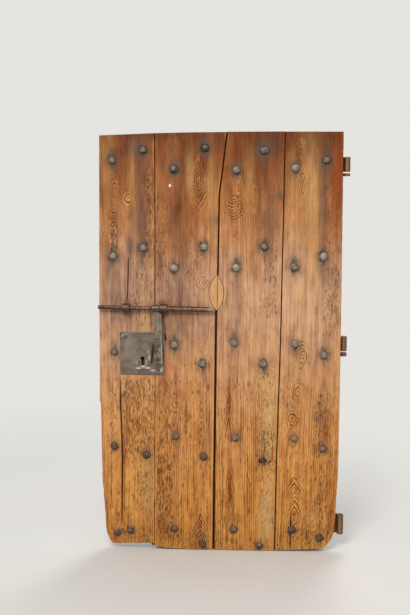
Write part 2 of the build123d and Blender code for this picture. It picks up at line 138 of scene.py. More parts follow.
# Old pine, hand-planed and waxed, darkened by light and hands. The growth rings give thin dark lines,
# the wax a soft satin sheen, worm galleries and nail rust dark and bluish marks
def old_pine():
    material, tree = new_material("old_waxed_pine")
    place = add(tree, "TexCoord", give="Object")
    # Pale and yellow at the foot, pink at the middle and dark brown at the top, in drifting clouds. It is the
    # wood's own colour, paler and pinker from about 1000 to 1250 mm up, where it also paints the sheen of the
    # wax
    height = add(tree, "SeparateXYZ", [place], give=2)
    cloud = add(tree, "Mapping", {"Vector": place, "Scale": (5.0, 5.0, 1.6)})
    cloud = add(tree, "TexNoise", {"Vector": cloud, "Scale": 1.0, "Detail": 3.0})
    drift = add(tree, "Math", [cloud, -0.5], operation="ADD")
    drift = add(tree, "Math", [drift, 0.5, height], operation="MULTIPLY_ADD")
    upward = add(tree, "MapRange", [drift, -ORIGIN[2] / 1000, (LEAF_H - ORIGIN[2]) / 1000, 0.0, 1.0])
    wood_and_sheen = add(tree, "ValToRGB", [upward], [
        (0.0, "#D28E45"), (0.18, "#D7924A"), (0.36, "#CF9259"), (0.54, "#C89672"), (0.66, "#CB9B78"),
        (0.76, "#B67D51"), (0.85, "#A3683A"), (0.94, "#7E4722"), (1.0, "#6B3A17")])
    late = add(tree, "ValToRGB", [upward], [
        (0.0, "#5E2F0E"), (0.3, "#6A3512"), (0.55, "#75452A"), (0.75, "#5C2F17"), (1.0, "#3A1B0A")])
    # One growth ring: pale early wood that darkens towards the late wood, then stops sharply
    fuzz = add(tree, "Mapping", {"Vector": place, "Scale": (420.0, 420.0, 30.0)})
    fuzz = add(tree, "TexNoise", {"Vector": fuzz, "Scale": 1.0, "Detail": 2.0})
    fuzz = add(tree, "Math", [fuzz, -0.5], operation="ADD")
    ring = add(tree, "Attribute", attribute_name="ring", give="Fac")
    ring = add(tree, "Math", [fuzz, 0.24, ring], operation="MULTIPLY_ADD")
    ring = add(tree, "Math", [ring], operation="FRACT")
    flank = add(tree, "ValToRGB", [ring], [
        (0.0, 0.2), (0.1, 0.0), (0.6, 0.1), (0.82, 0.55), (0.93, 1.0), (1.0, 0.35)])
    figure = add(tree, "Attribute", attribute_name="figure", give="Fac")
    flank = add(tree, "Math", [flank, figure], operation="MULTIPLY")
    # The bolder lines of the nests and knots
    nest = add(tree, "Attribute", attribute_name="nest", give="Fac")
    nest = add(tree, "Math", [fuzz, 0.3, nest], operation="MULTIPLY_ADD")
    nest = add(tree, "Math", [nest], operation="FRACT")
    nest = add(tree, "ValToRGB", [nest], [
        (0.0, 0.0), (0.2, 0.05), (0.34, 0.85), (0.45, 1.0), (0.58, 0.9), (0.74, 0.1), (1.0, 0.0)])
    nested = add(tree, "Attribute", attribute_name="nest_share", give="Fac")
    nest = add(tree, "Math", [nest, nested], operation="MULTIPLY")
    line = add(tree, "Math", [flank, nest], operation="MAXIMUM")
    late = add(tree, "Mix", {0: nest, 6: late, 7: linear("#42200E")}, **COLOURS)
    early = add(tree, "Math", [nested, 0.4], operation="MULTIPLY")
    wood_and_sheen = add(tree, "Mix", {0: early, 6: wood_and_sheen, 7: linear("#D8924E")}, **COLOURS)
    colour = add(tree, "Mix", {0: line, 6: wood_and_sheen, 7: late}, **COLOURS)
    # Fibres, much finer in real pine but drawn 0.8 mm wide so that they show, streaks of sap and heart wood
    # 9 mm wide, and blots of old wax 30 mm wide. Each has its scale across the grain and along it, its detail
    # and roughness, the ramp from dark to pale, and its share
    layers = []
    for across, lengthwise, detail, rough, ramp, share in (
            (1300.0, 24.0, 3.0, 0.6, [(0.25, 0.28), (0.5, 0.5), (0.75, 0.7)], 0.6),
            (110.0, 3.4, 5.0, 0.65, [(0.3, 0.26), (0.5, 0.5), (0.7, 0.7)], 0.7),
            (34.0, 13.0, 6.0, 0.7, [(0.3, 0.26), (0.5, 0.5), (0.7, 0.69)], 0.85)):
        layer = add(tree, "Mapping", {"Vector": place, "Scale": (across, across, lengthwise)})
        layer = add(tree, "TexNoise", {"Vector": layer, "Scale": 1.0, "Detail": detail, "Roughness": rough})
        shade = add(tree, "ValToRGB", [layer], ramp)
        colour = add(tree, "Mix", {0: share, 6: colour, 7: shade}, **OVERLAY)
        layers.append(layer)
    fibre = layers[0]
    # The marks on the face: rubbed and darkened places, with painted sheen and painted shadows among them,
    # then red, grey and purple stains
    tone = add(tree, "Attribute", attribute_name="tone", give="Fac")
    pale = add(tree, "MapRange", [tone, 0.0, 1.0, 0.0, 0.75])
    deep = add(tree, "MapRange", [tone, 0.0, -1.0, 0.0, 0.85])
    colour = add(tree, "Mix", {0: pale, 6: colour, 7: linear("#E3B574")}, **COLOURS)
    colour = add(tree, "Mix", {0: deep, 6: colour, 7: linear("#4A2712")}, **COLOURS)
    stains = (("red", "#8A3C15", 0.75), ("grey", "#5B5347", 0.88), ("purple", "#64463E", 0.75))
    for name, tint, most in stains:
        amount = add(tree, "Attribute", attribute_name=name, give="Fac")
        amount = add(tree, "MapRange", [amount, 0.0, 1.0, 0.0, most])
        colour = add(tree, "Mix", {0: amount, 6: colour, 7: linear(tint)}, **COLOURS)
    # The ends of small galleries, 2.6 mm wide and filled with dark wax, and brown flecks 6 mm wide
    worm = add(tree, "Attribute", attribute_name="worm", give="Fac")
    speck = add(tree, "Mapping", {"Vector": place, "Scale": (380.0, 380.0, 62.0)})
    speck = add(tree, "TexNoise", {"Vector": speck, "Scale": 1.0, "Detail": 2.0})
    edge = add(tree, "MapRange", [worm, 0.0, 1.0, 0.80, 0.60])
    speck = add(tree, "Math", [speck, edge], operation="SUBTRACT")
    dot = add(tree, "MapRange", [speck, 0.0, 0.05, 0.0, 0.85])
    colour = add(tree, "Mix", {0: dot, 6: colour, 7: linear("#3A1D0D")}, **COLOURS)
    fleck = add(tree, "Mapping", {"Vector": place, "Scale": (170.0, 170.0, 20.0)})
    fleck = add(tree, "TexNoise", {"Vector": fleck, "Scale": 1.0, "Detail": 3.0, "Roughness": 0.6})
    edge = add(tree, "MapRange", [worm, 0.0, 1.0, 0.68, 0.56])
    fleck = add(tree, "Math", [fleck, edge], operation="SUBTRACT")
    fleck = add(tree, "MapRange", [fleck, 0.0, 0.09, 0.0, 0.6])
    colour = add(tree, "Mix", {0: fleck, 6: colour, 7: linear("#5B3218")}, **COLOURS)
    # Dirt in the joints, splits and galleries, together with the painted shadow below each nail head
    dirt = add(tree, "Attribute", attribute_name="dirt", give="Fac")
    filled = add(tree, "MapRange", [dirt, 0.0, 1.0, 0.0, 0.94])
    colour = add(tree, "Mix", {0: filled, 6: colour, 7: linear("#2E190D")}, **COLOURS)
    chalk = add(tree, "Attribute", attribute_name="chalk", give="Fac")
    colour = add(tree, "Mix", {0: chalk, 6: colour, 7: linear("#EFE6D6")}, **COLOURS)
    gloss = add(tree, "Math", [line, -0.06, 0.54], operation="MULTIPLY_ADD")
    gloss = add(tree, "Math", [dirt, 0.3, gloss], operation="MULTIPLY_ADD")
    rise = add(tree, "Math", [fibre, 0.6], operation="MULTIPLY")
    rise = add(tree, "Math", [line, 0.5, rise], operation="MULTIPLY_ADD")
    rise = add(tree, "Math", [dot, -1.2, rise], operation="MULTIPLY_ADD")
    bump = add(tree, "Bump", {"Strength": 0.5, "Distance": 0.0006, "Height": rise})
    shader = add(tree, "BsdfPrincipled", {
        "Base Color": colour, "Roughness": gloss, "Normal": bump, "IOR": 1.5, "Specular IOR Level": 0.12})
    add(tree, "OutputMaterial", [shader])
    return material


# Unwaxed pine, sawn and left rough: dull and dusty, with ring lines a few mm apart along the board, and
# fibres drawn 1.1 mm wide so that they show
def sawn_pine(name, lengthwise, pale, mid, dark, dust_share=0.45):
    material, tree = new_material(name)
    place = add(tree, "TexCoord", give="Object")
    along_x = lengthwise == "x"
    grain_scale = (2.2, 70.0, 70.0) if along_x else (70.0, 70.0, 2.2)
    fibre_scale = (14.0, 900.0, 900.0) if along_x else (900.0, 900.0, 14.0)
    grain = add(tree, "Mapping", {"Vector": place, "Scale": grain_scale})
    grain = add(tree, "TexNoise", {
        "Vector": grain, "Scale": 1.0, "Detail": 4.0, "Roughness": 0.6, "Distortion": 0.4})
    rings = add(tree, "Math", [grain, 9.0], operation="MULTIPLY")
    rings = add(tree, "Math", [rings], operation="FRACT")
    line = add(tree, "ValToRGB", [rings], [(0.0, 0.1), (0.1, 0.0), (0.6, 0.25), (0.93, 1.0), (1.0, 0.3)])
    cloud = add(tree, "TexNoise", {"Vector": place, "Scale": 6.0, "Detail": 4.0})
    colour = add(tree, "ValToRGB", [cloud], [(0.3, dark), (0.5, mid), (0.7, pale)])
    late = add(tree, "Math", [line, 0.4], operation="MULTIPLY")
    colour = add(tree, "Mix", {0: late, 6: colour, 7: linear(dark)}, **COLOURS, blend_type="MULTIPLY")
    fibre = add(tree, "Mapping", {"Vector": place, "Scale": fibre_scale})
    fibre = add(tree, "TexNoise", {"Vector": fibre, "Scale": 1.0, "Detail": 3.0, "Roughness": 0.6})
    shade = add(tree, "ValToRGB", [fibre], [(0.25, 0.3), (0.5, 0.5), (0.75, 0.7)])
    colour = add(tree, "Mix", {0: 0.6, 6: colour, 7: shade}, **OVERLAY)
    dust = add(tree, "TexNoise", {"Vector": place, "Scale": 14.0, "Detail": 6.0, "Roughness": 0.7})
    dust = add(tree, "MapRange", [dust, 0.5, 0.8, 0.0, dust_share])
    colour = add(tree, "Mix", {0: dust, 6: colour, 7: linear("#8C7C68")}, **COLOURS)
    rise = add(tree, "Math", [fibre, 0.8], operation="MULTIPLY")
    rise = add(tree, "Math", [line, 0.5, rise], operation="MULTIPLY_ADD")
    bump = add(tree, "Bump", {"Strength": 0.6, "Distance": 0.0009, "Height": rise})
    shader = add(tree, "BsdfPrincipled", {
        "Base Color": colour, "Roughness": 0.78, "Normal": bump, "IOR": 1.5})
    add(tree, "OutputMaterial", [shader])
    return material


# Forged iron with its brown patina: rubbed paler on the ridges, rusty and sooty in the hollows. Its pits are
# drawn 2.4 mm wide so that they show. Blots is the scale of its patches, from 11 to 33 mm wide, and bare
# how much clean metal shows. A piece's rub_and_light values pale and darken it further: rubbed and sooty
# places, and painted highlights and painted shade
def forged_iron(name, metal, patina, rust, rust_share, gloss=0.46, rubbed_and_highlit="#B5ABA0", blots=38.0, bare=0.65):
    material, tree = new_material(name)
    place = add(tree, "TexCoord", give="Object")
    blot = add(tree, "TexNoise", {"Vector": place, "Scale": blots, "Detail": 6.0, "Roughness": 0.65})
    grit = add(tree, "TexNoise", {"Vector": place, "Scale": 420.0, "Detail": 4.0, "Roughness": 0.6})
    scale = add(tree, "TexNoise", {"Vector": place, "Scale": blots * 2, "Detail": 8.0, "Roughness": 0.7})
    proud = add(tree, "NewGeometry", give="Pointiness")
    rub_and_light = add(tree, "Attribute", attribute_name="rub_and_light", give="Fac")
    colour = add(tree, "ValToRGB", [blot], [(0.32, patina), (0.62, metal)])
    shade = add(tree, "ValToRGB", [grit], [(0.3, 0.32), (0.5, 0.5), (0.7, 0.66)])
    colour = add(tree, "Mix", {0: 0.6, 6: colour, 7: shade}, **OVERLAY)
    rusty = add(tree, "MapRange", [scale, 0.66 - rust_share * 0.3, 0.74 - rust_share * 0.3, 0.0, 0.85])
    colour = add(tree, "Mix", {0: rusty, 6: colour, 7: linear(rust)}, **COLOURS)
    ridge = add(tree, "MapRange", [proud, 0.515, 0.58, 0.0, 0.6])
    # Paler where rubbed, and where a painted highlight is laid
    shine = add(tree, "MapRange", [rub_and_light, 0.0, 1.0, 0.0, 0.9])
    ridge = add(tree, "Math", [ridge, shine], operation="MAXIMUM")
    colour = add(tree, "Mix", {0: ridge, 6: colour, 7: linear(rubbed_and_highlit)}, **COLOURS)
    hollow = add(tree, "MapRange", [proud, 0.485, 0.43, 0.0, 0.6])
    # Darker where sooty, and where painted shade and painted shadows are laid
    soot_and_shade = add(tree, "MapRange", [rub_and_light, 0.0, -1.0, 0.0, 0.95])
    hollow = add(tree, "Math", [hollow, soot_and_shade], operation="MAXIMUM")
    colour = add(tree, "Mix", {0: hollow, 6: colour, 7: linear("#1E1510")}, **COLOURS)
    metallic = add(tree, "Math", [rusty, -0.85 * bare, bare], operation="MULTIPLY_ADD")
    rough = add(tree, "Math", [grit, 0.14, gloss - 0.07], operation="MULTIPLY_ADD")
    rough = add(tree, "Math", [rusty, 0.3, rough], operation="MULTIPLY_ADD")
    rise = add(tree, "Math", [grit, 0.25, blot], operation="MULTIPLY_ADD")
    bump = add(tree, "Bump", {"Strength": 0.5, "Distance": 0.0014, "Height": rise})
    shader = add(tree, "BsdfPrincipled", {
        "Base Color": colour, "Metallic": metallic, "Roughness": rough, "Normal": bump})
    add(tree, "OutputMaterial", [shader])
    return material


OLD_PINE = old_pine()
# The rear of the planks, dark and never waxed
PLANK_BACK = sawn_pine("sawn_pine_back", "z", "#8C6743", "#74522F", "#573A20")
# The battens, a little paler, with their grain across the leaf
BATTEN_PINE = sawn_pine("sawn_pine_batten", "x", "#96704A", "#7E5A36", "#5E4025")
# The let-in repair, newer and much paler, with hardly any dust
PATCH_PINE = sawn_pine("let_in_pine", "z", "#DCA872", "#D09B66", "#B47B4C", 0.1)
# Nail heads, grey in the upper rows and browner with rust in the lower ones, both matt
GREY_NAIL_IRON = forged_iron(
    "forged_iron_nails_grey", "#948573", "#63584B", "#583F2E", 0.3, 0.62, "#BCAB98", 90.0, 0.3)
BROWN_NAIL_IRON = forged_iron(
    "forged_iron_nails_brown", "#7B5E4D", "#4F392C", "#5E3A25", 0.4, 0.58, "#B49D86", 90.0, 0.35)
# The bolt rod and its staples, dark and browned, and handled smooth
BOLT_IRON = forged_iron("forged_iron_bolt", "#6E5240", "#36261C", "#462514", 0.45, 0.42, "#AE9A86", 60.0)
# The hasp and the plate, paler and greyer, with rubbed bright places and painted highlights
HASP_IRON = forged_iron("forged_iron_hasp", "#887868", "#574A3E", "#573A28", 0.25, 0.44, "#CDC0B0", 60.0)
PLATE_IRON = forged_iron("beaten_sheet_iron", "#867869", "#5E5245", "#5A4030", 0.2, 0.46, "#D0C5B6", 30.0)
# Rivets and small nails, and the hidden works of the lock, dark and hardly rubbed
SMALL_IRON = forged_iron("forged_iron_rivets", "#6C625A", "#3F3631", "#45291B", 0.3)
WORKS_IRON = forged_iron("dull_lock_iron", "#5A524C", "#383230", "#40281C", 0.3)
# The hinges, brown with rust, and matt
HINGE_IRON = forged_iron("rusty_hinge_iron", "#7E5C44", "#543C2B", "#6B4124", 0.5, 0.6, "#C09068", 60.0)


# Pieces

def make_piece(name, bm, materials, body, nodes):
    # Makes the finished shape a piece that rides a body and takes the place of the CAD's nodes
    mesh = bpy.data.meshes.new(name)
    bm.to_mesh(mesh)
    bm.free()
    for material in materials:
        mesh.materials.append(material)
    for face in mesh.polygons:
        face.use_smooth = True
    piece = bpy.data.objects.new(name, mesh)
    bpy.context.scene.collection.objects.link(piece)
    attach(piece, body)
    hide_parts(*nodes)
    return piece


def keep_attribute(mesh, name, values):
    # A value at each point of the mesh, which its material reads by name
    attribute = mesh.attributes.new(name, "FLOAT", "POINT")
    attribute.data.foreach_set("value", np.asarray(values, dtype=np.float32).ravel())


# Heads of the nails on the front face, row by row from the top: (x, z, half width, half height, shade),
# the shade from -1, dark with rust, to 1, rubbed
HEADS = [
    [(-471, 1775, 17, 17, -0.4), (-335, 1818, 18, 18, -0.6), (-200, 1736, 19, 18, -0.6),
     (-65, 1826, 20, 18, -0.75), (74, 1732, 19, 19, -0.2), (195, 1817, 21, 18, -0.45),
     (330, 1740, 19, 19, 0.0), (463, 1775, 17, 17, -0.45)],
    [(-472, 1355, 17, 17, 0.0), (-338, 1391, 17, 17, -0.15), (-201, 1303, 18, 18, 0.3),
     (-69, 1397, 18, 17, 0.0), (73, 1305, 18, 18, 0.35), (199, 1398, 18, 18, -0.35),
     (332, 1310, 20, 19, -0.2), (458, 1355, 18, 20, 0.35)],
    [(-472, 924, 17, 17, -0.3), (-202, 958, 18, 18, 0.1), (-77, 873, 20, 18, -0.1), (66, 970, 19, 18, 0.0),
     (196, 876, 18, 19, -0.1), (335, 966, 18, 18, 0.1), (466, 916, 17, 17, 0.1)],
    [(-477, 489, 17, 20, -0.2), (-331, 449, 21, 16, -0.5), (-199, 538, 18, 18, 0.2),
     (-71, 444, 20, 20, -0.15), (73, 534, 18, 19, 0.3), (196, 428, 20, 11, -0.75), (339, 534, 18, 18, 0.45),
     (465, 489, 19, 19, 0.1)],
    [(-468, 77, 17, 16, -0.25), (-408, 92, 19, 18, -0.1), (-204, 101, 18, 18, -0.05),
     (-75, 27, 19, 17, -0.2), (67, 101, 20, 18, -0.05), (186, 27, 20, 15, -0.1), (332, 106, 20, 17, -0.25),
     (460, 67, 21, 17, -0.25)],
]

# Middle lines of the seams between the planks as (x, z), and the widths of the gaps there as (width, z)
SEAM_A = [(-298, 0), (-289, 815), (-287, 1140), (-283, 1897)]
SEAM_B = [(-25, 0), (-14, 1112), (-7, 1272), (-1, 1624), (33, 1897)]
SEAM_C = [(255, 0), (262, 500), (274, 1029), (284, 1897)]
GAP_A = [(1.0, 0), (1.0, 815), (2.0, 1140), (2.0, 1897)]
GAP_B = [(9.0, 0), (9.0, 1112), (6.0, 1272), (5.0, 1624), (4.0, 1897)]
GAP_C = [(4.0, 0), (4.0, 500), (3.5, 1029), (3.0, 1897)]

# The let-in repair over the middle seam: its tips, its middle line, its depth, and how far each half reaches
PATCH_TOP = 1273.0
PATCH_FOOT = 1112.0
PATCH_X = -9.0
PATCH_D = 15.0
REACH_LEFT = 37.0
REACH_RIGHT = 28.0
# Half of the open line between the two halves of the repair
PATCH_GAP = 0.8
# The lock's pocket behind the plate: its sides, foot, top and depth
POCKET = (-425.5, -253.5, 861.0, 985.0, 24.0)


def patch_bow(z, side, reach):
    # Outer edge of one half of the let-in repair, on side -1 or 1
    half = (PATCH_TOP - PATCH_FOOT) / 2
    middle = (PATCH_TOP + PATCH_FOOT) / 2
    reach = reach - PATCH_GAP
    radius = (half * half + reach * reach) / (2 * reach)
    inside = np.clip(radius * radius - (z - middle) ** 2, 0, None)
    bow = np.sqrt(inside) - (radius - reach)
    return PATCH_X + side * (PATCH_GAP + np.clip(bow, 0, None))


def seam_edge(seam, gap, side):
    # A plank's edge at a seam, half the open gap away from the seam's middle line
    return lambda z: along(seam, z) + side * along(gap, z) / 2


def seam_b_edge(side, reach):
    # The seam's edge, cut back by the bow of the let-in repair
    plain = seam_edge(SEAM_B, GAP_B, side)

    def edge(z):
        bow = patch_bow(z, side, reach)
        inside = (z > PATCH_FOOT) & (z < PATCH_TOP)
        pick = np.minimum if side < 0 else np.maximum
        return np.where(inside, pick(plain(z), bow + side * 0.6), plain(z))
    return edge


def outer_edge(line, side):
    # The leaf's outer edge, crumbled inwards, more so near the foot where the wet has reached it
    def edge(z):
        worn = 1.0 + 2.6 * smooth_step((520 - z) / 300)
        coarse = soft_noise(z * 0, z, 50, 17, 130 + side) * 0.8
        crumbled = np.clip(coarse + soft_noise(z * 0, z, 50, 7, 133 + side) * 0.5, 0, 1)
        return along(line, z) + side * worn * crumbled
    return edge


def worn_foot(line, x):
    # The line of the foot, eaten upwards where it has stood in the wet
    eaten = soft_noise(x, x * 0, 23, 50, 151) * 0.8 + soft_noise(x, x * 0, 8, 50, 152) * 0.5
    return level(line, x) + 3.4 * np.clip(eaten, 0, 1)


# The leaf's outer sides, as (x, z)
LEFT_LINE = [(-521, 88), (-528, 232), (-535, 327), (-537, 688), (-542, 698), (-537, 1158), (-527, 1882)]
RIGHT_LINE = [(523, 84), (530, 155), (535, 250), (540, 391), (540, 1031), (535, 1895)]

# Each plank: its edges, the lines of its top and foot as (x, z), its open splits as (line, width, depth),
# the columns between its edges and splits, and which of its sides lies at a seam
PLANKS = {
    1: {
        "left": outer_edge(LEFT_LINE, 1),
        "right": seam_edge(SEAM_A, GAP_A, -1),
        "top": [(-527, 1882), (-284, 1891)],
        "foot": [(-521, 88), (-508, 50), (-492, 25), (-455, 26), (-404, 28), (-316, 27), (-298, 26)],
        "splits": [
            ([(-447, 109), (-442, 446), (-443, 586), (-447, 679), (-446, 822)], 4.6, 22.0),
            ([(-410, 1159), (-407, 1255), (-403, 1355)], 2.4, 12.0),
        ],
        "counts": (40, 14, 54),
        "seams": (0, 1),
    },
    2: {
        "left": seam_edge(SEAM_A, GAP_A, 1),
        "right": seam_b_edge(-1, REACH_LEFT),
        "top": [(-283, 1891), (-131, 1894), (31, 1895)],
        "foot": [(-297, 16), (-288, 14), (-247, 5), (-85, 0.6), (-29, 0.6)],
        "splits": [([(-239, 974), (-243, 995), (-247, 1012)], 5.5, 12.0)],
        "counts": (18, 108),
        "seams": (1, 1),
    },
    3: {
        "left": seam_b_edge(1, REACH_RIGHT),
        "right": seam_edge(SEAM_C, GAP_C, -1),
        "top": [(33, 1896), (284, 1896.5)],
        "foot": [(-20, 0.6), (120, 1.5), (253, 0.6)],
        "splits": [],
        "counts": (134,),
        "seams": (1, 1),
    },
    4: {
        "left": seam_edge(SEAM_C, GAP_C, 1),
        "right": outer_edge(RIGHT_LINE, -1),
        "top": [(285, 1896), (535, 1895)],
        "foot": [(257, 2), (374, 6), (475, 16), (497, 36), (515, 62), (523, 84)],
        "splits": [([(327.5, 2), (327, 90), (328, 176)], 2.4, 16.0)],
        "counts": (28, 98),
        "seams": (1, 0),
    },
}

# Growth rings of the planks: the line of the heart, across which they mirror, as (x, z)
HEARTS = {
    1: [(-462, 0), (-458, 300), (-450, 900), (-455, 1300), (-468, 1560), (-466, 1700), (-474, 1891)],
    2: [(-82, 0), (-85, 500), (-78, 940), (-82, 1240), (-95, 1400), (-92, 1700), (-86, 1891)],
    3: [(52, 0), (49, 300), (44, 800), (66, 1200), (64, 1400), (62, 1540), (76, 1680), (72, 1897)],
    4: [(341, 0), (344, 300), (346, 620), (356, 908), (354, 1200), (358, 1560), (354, 1897)],
}
# Nests of V and U lines along the heart: (x, first tip, last tip, step, steepness, half width, bluntness,
# strength). A tip points down, or up where the steepness is negative
NESTS = {
    1: [(-468, 1462, 1575, 13.5, 1.3, 26, 1.5, 1.0), (-470, 1749, 1694, 15.5, -1.6, 11, 1.0, 0.9),
        (-466, 1822, 1880, 15, 1.5, 18, 1.2, 0.5), (-462, 250, 90, 30, -3.0, 26, 1.2, 0.5)],
    2: [(-92, 1547, 1592, 27.0, 1.9, 44, 1.1, 1.0), (-93, 1604, 1664, 15.0, 1.0, 40, 1.4, 1.0),
        (-93, 1790, 1716, 30, -2.6, 26, 1.0, 0.8), (-87, 184, 40, 25.0, -2.3, 40, 1.1, 1.0),
        (-90, 1345, 1440, 17, 1.6, 26, 1.4, 0.5), (-80, 720, 470, 34, -5.0, 26, 1.2, 0.8)],
    3: [(62, 1514, 1622, 13.0, 1.0, 54, 1.7, 1.0), (66, 1430, 1490, 16.0, 2.0, 15, 1.3, 0.8),
        (43, 790, 620, 46, -6.0, 22, 1.0, 1.0), (50, 430, 250, 46, -5.5, 22, 1.0, 1.0),
        (72, 1740, 1690, 14, -1.5, 22, 1.4, 0.7)],
    4: [(361, 1590, 1650, 30, 3.0, 34, 1.0, 1.0), (361, 1750, 1665, 26, -2.6, 28, 1.2, 0.9),
        (368, 985, 940, 16, -0.9, 38, 1.8, 0.9), (362, 838, 880, 21, 1.6, 38, 1.2, 0.9),
        (344, 352, 205, 21, -1.7, 32, 1.3, 1.0), (341, 60, 150, 18, 1.8, 26, 1.3, 0.9),
        (354, 812, 790, 12, -1.2, 24, 1.6, 0.7), (348, 1480, 1560, 30, 3.5, 24, 1.0, 0.5)],
}
# Knots and eyes: (x, z, half width, half height, rings, strength)
KNOTS = {
    1: [(-403, 1610, 24, 26, 1.9, 1.0), (-462, 1640, 15, 42, 2.6, 1.0)],
    2: [(-78, 1237, 29, 32, 2.2, 0.55), (-76, 948, 28, 34, 1.6, 0.25), (-93, 1690, 24, 34, 2.6, 1.0),
        (-210, 1800, 36, 80, 3.4, 0.28), (-196, 690, 26, 46, 2.0, 0.5), (-150, 585, 14, 40, 1.6, 0.4)],
    3: [(80, 1655, 17, 40, 2.4, 0.9), (150, 1610, 16, 56, 1.6, 0.4), (186, 1590, 11, 44, 1.4, 0.3)],
    4: [(369, 906, 25, 26, 2.2, 1.0), (341, 176, 18, 19, 2.2, 1.0), (332, 618, 27, 33, 2.7, 1.0),
        (353, 1849, 17, 18, 1.6, 1.0), (362, 1698, 9, 30, 1.6, 0.9), (350, 1803, 10, 26, 1.6, 0.9),
        (352, 750, 24, 30, 2.0, 0.75), (336, 512, 14, 24, 1.6, 0.6)],
}
# How far the rings lie apart on a flank, and how deep the heart lies behind the face
RING_STEP = 7.6
HEART_DEPTH = 60.0


def bare_share(z):
    # 1 on the bare lower part of the leaf, 0 on the waxed part above
    return smooth_step((820 - z) / 200)


def growth_rings(number, x, z):
    # Ring number on the plain flanks of the board
    heart = along(HEARTS[number], z)
    off = x - heart + soft_noise(x, z, 70, 700, 13 * number) * 9
    off = off + soft_noise(x, z, 16, 48, 11 * number) * (0.5 + 1.6 * bare_share(z))
    rings = np.sqrt(off * off + HEART_DEPTH ** 2) / RING_STEP
    rings = rings + soft_noise(x, z, 30, 520, 5 * number) * 0.5 + soft_noise(x, z, 9, 120, 7 * number) * 0.14
    side = np.sign(x - heart)
    for knot in KNOTS[number]:
        knot_side = np.sign(knot[0] - heart)
        rings = rings + 1.6 * side * knot_side * spot(x, z, knot[:2], (knot[2] * 1.7, knot[3] * 1.6))
    return rings


def ring_figure(number, x, z):
    # Line number in the nests and knots, how strongly the lines show, and how much of the place they take up
    sway_x = soft_noise(x, z, 13, 15, 14 * number) * 3.2 + soft_noise(x, z, 60, 60, 17 * number) * 4
    sway_z = soft_noise(x, z, 12, 11, 18 * number) * 4.4 + soft_noise(x, z, 40, 24, 19 * number) * 4
    patchy = 0.86 + soft_noise(x, z, 18, 26, 21 * number) * 0.4
    lines = np.zeros_like(x)
    shown = np.zeros_like(x)
    share = np.zeros_like(x)
    for nx, first, last, step, steep, wide, blunt, strong in NESTS[number]:
        off = np.abs(x - nx + sway_x)
        tip = z + sway_z - steep * wide * (off / wide) ** blunt
        tip = tip + soft_noise(x * 0, tip, 50, step * 2.3, 20 * number) * step * 0.45
        way = 1 if last > first else -1
        inside = smooth_step(way * (tip - first) / step + 0.7) * smooth_step(way * (last - tip) / step + 0.9)
        inside = inside * smooth_step((wide * 1.35 - off) / (wide * 0.7))
        better = inside > share
        lines = np.where(better, (tip - first) / step, lines)
        shown = np.where(better, strong * inside * patchy, shown)
        share = np.maximum(share, inside)
    for kx, kz, wide, high, count, strong in KNOTS[number]:
        far = np.sqrt(((x - kx + sway_x * 0.9) / wide) ** 2 + ((z - kz + sway_z * 1.2) / high) ** 2)
        inside = smooth_step((1.3 - far) / 0.3)
        better = inside > share * 0.9
        lines = np.where(better, far * count + 0.35, lines)
        shown = np.where(better, strong * inside * patchy, shown)
        share = np.maximum(share, inside)
    return lines, np.clip(shown, 0, 1), share


def ring_strength(number, x, z, share):
    # The flanks' rings show more in the bare lower half and fade under the wax elsewhere
    show = 0.34 + 0.1 * smooth_step((z - 1350) / 150) + 0.42 * bare_share(z)
    patchy = 1 + 0.6 * soft_noise(x, z, 34, 260, 15 * number) + 0.7 * soft_noise(x, z, 8, 240, 16 * number)
    off = np.abs(x - along(HEARTS[number], z))
    return np.clip(show * patchy * (1 - share) * (0.35 + 0.65 * smooth_step(off / 36)), 0.02, 1)
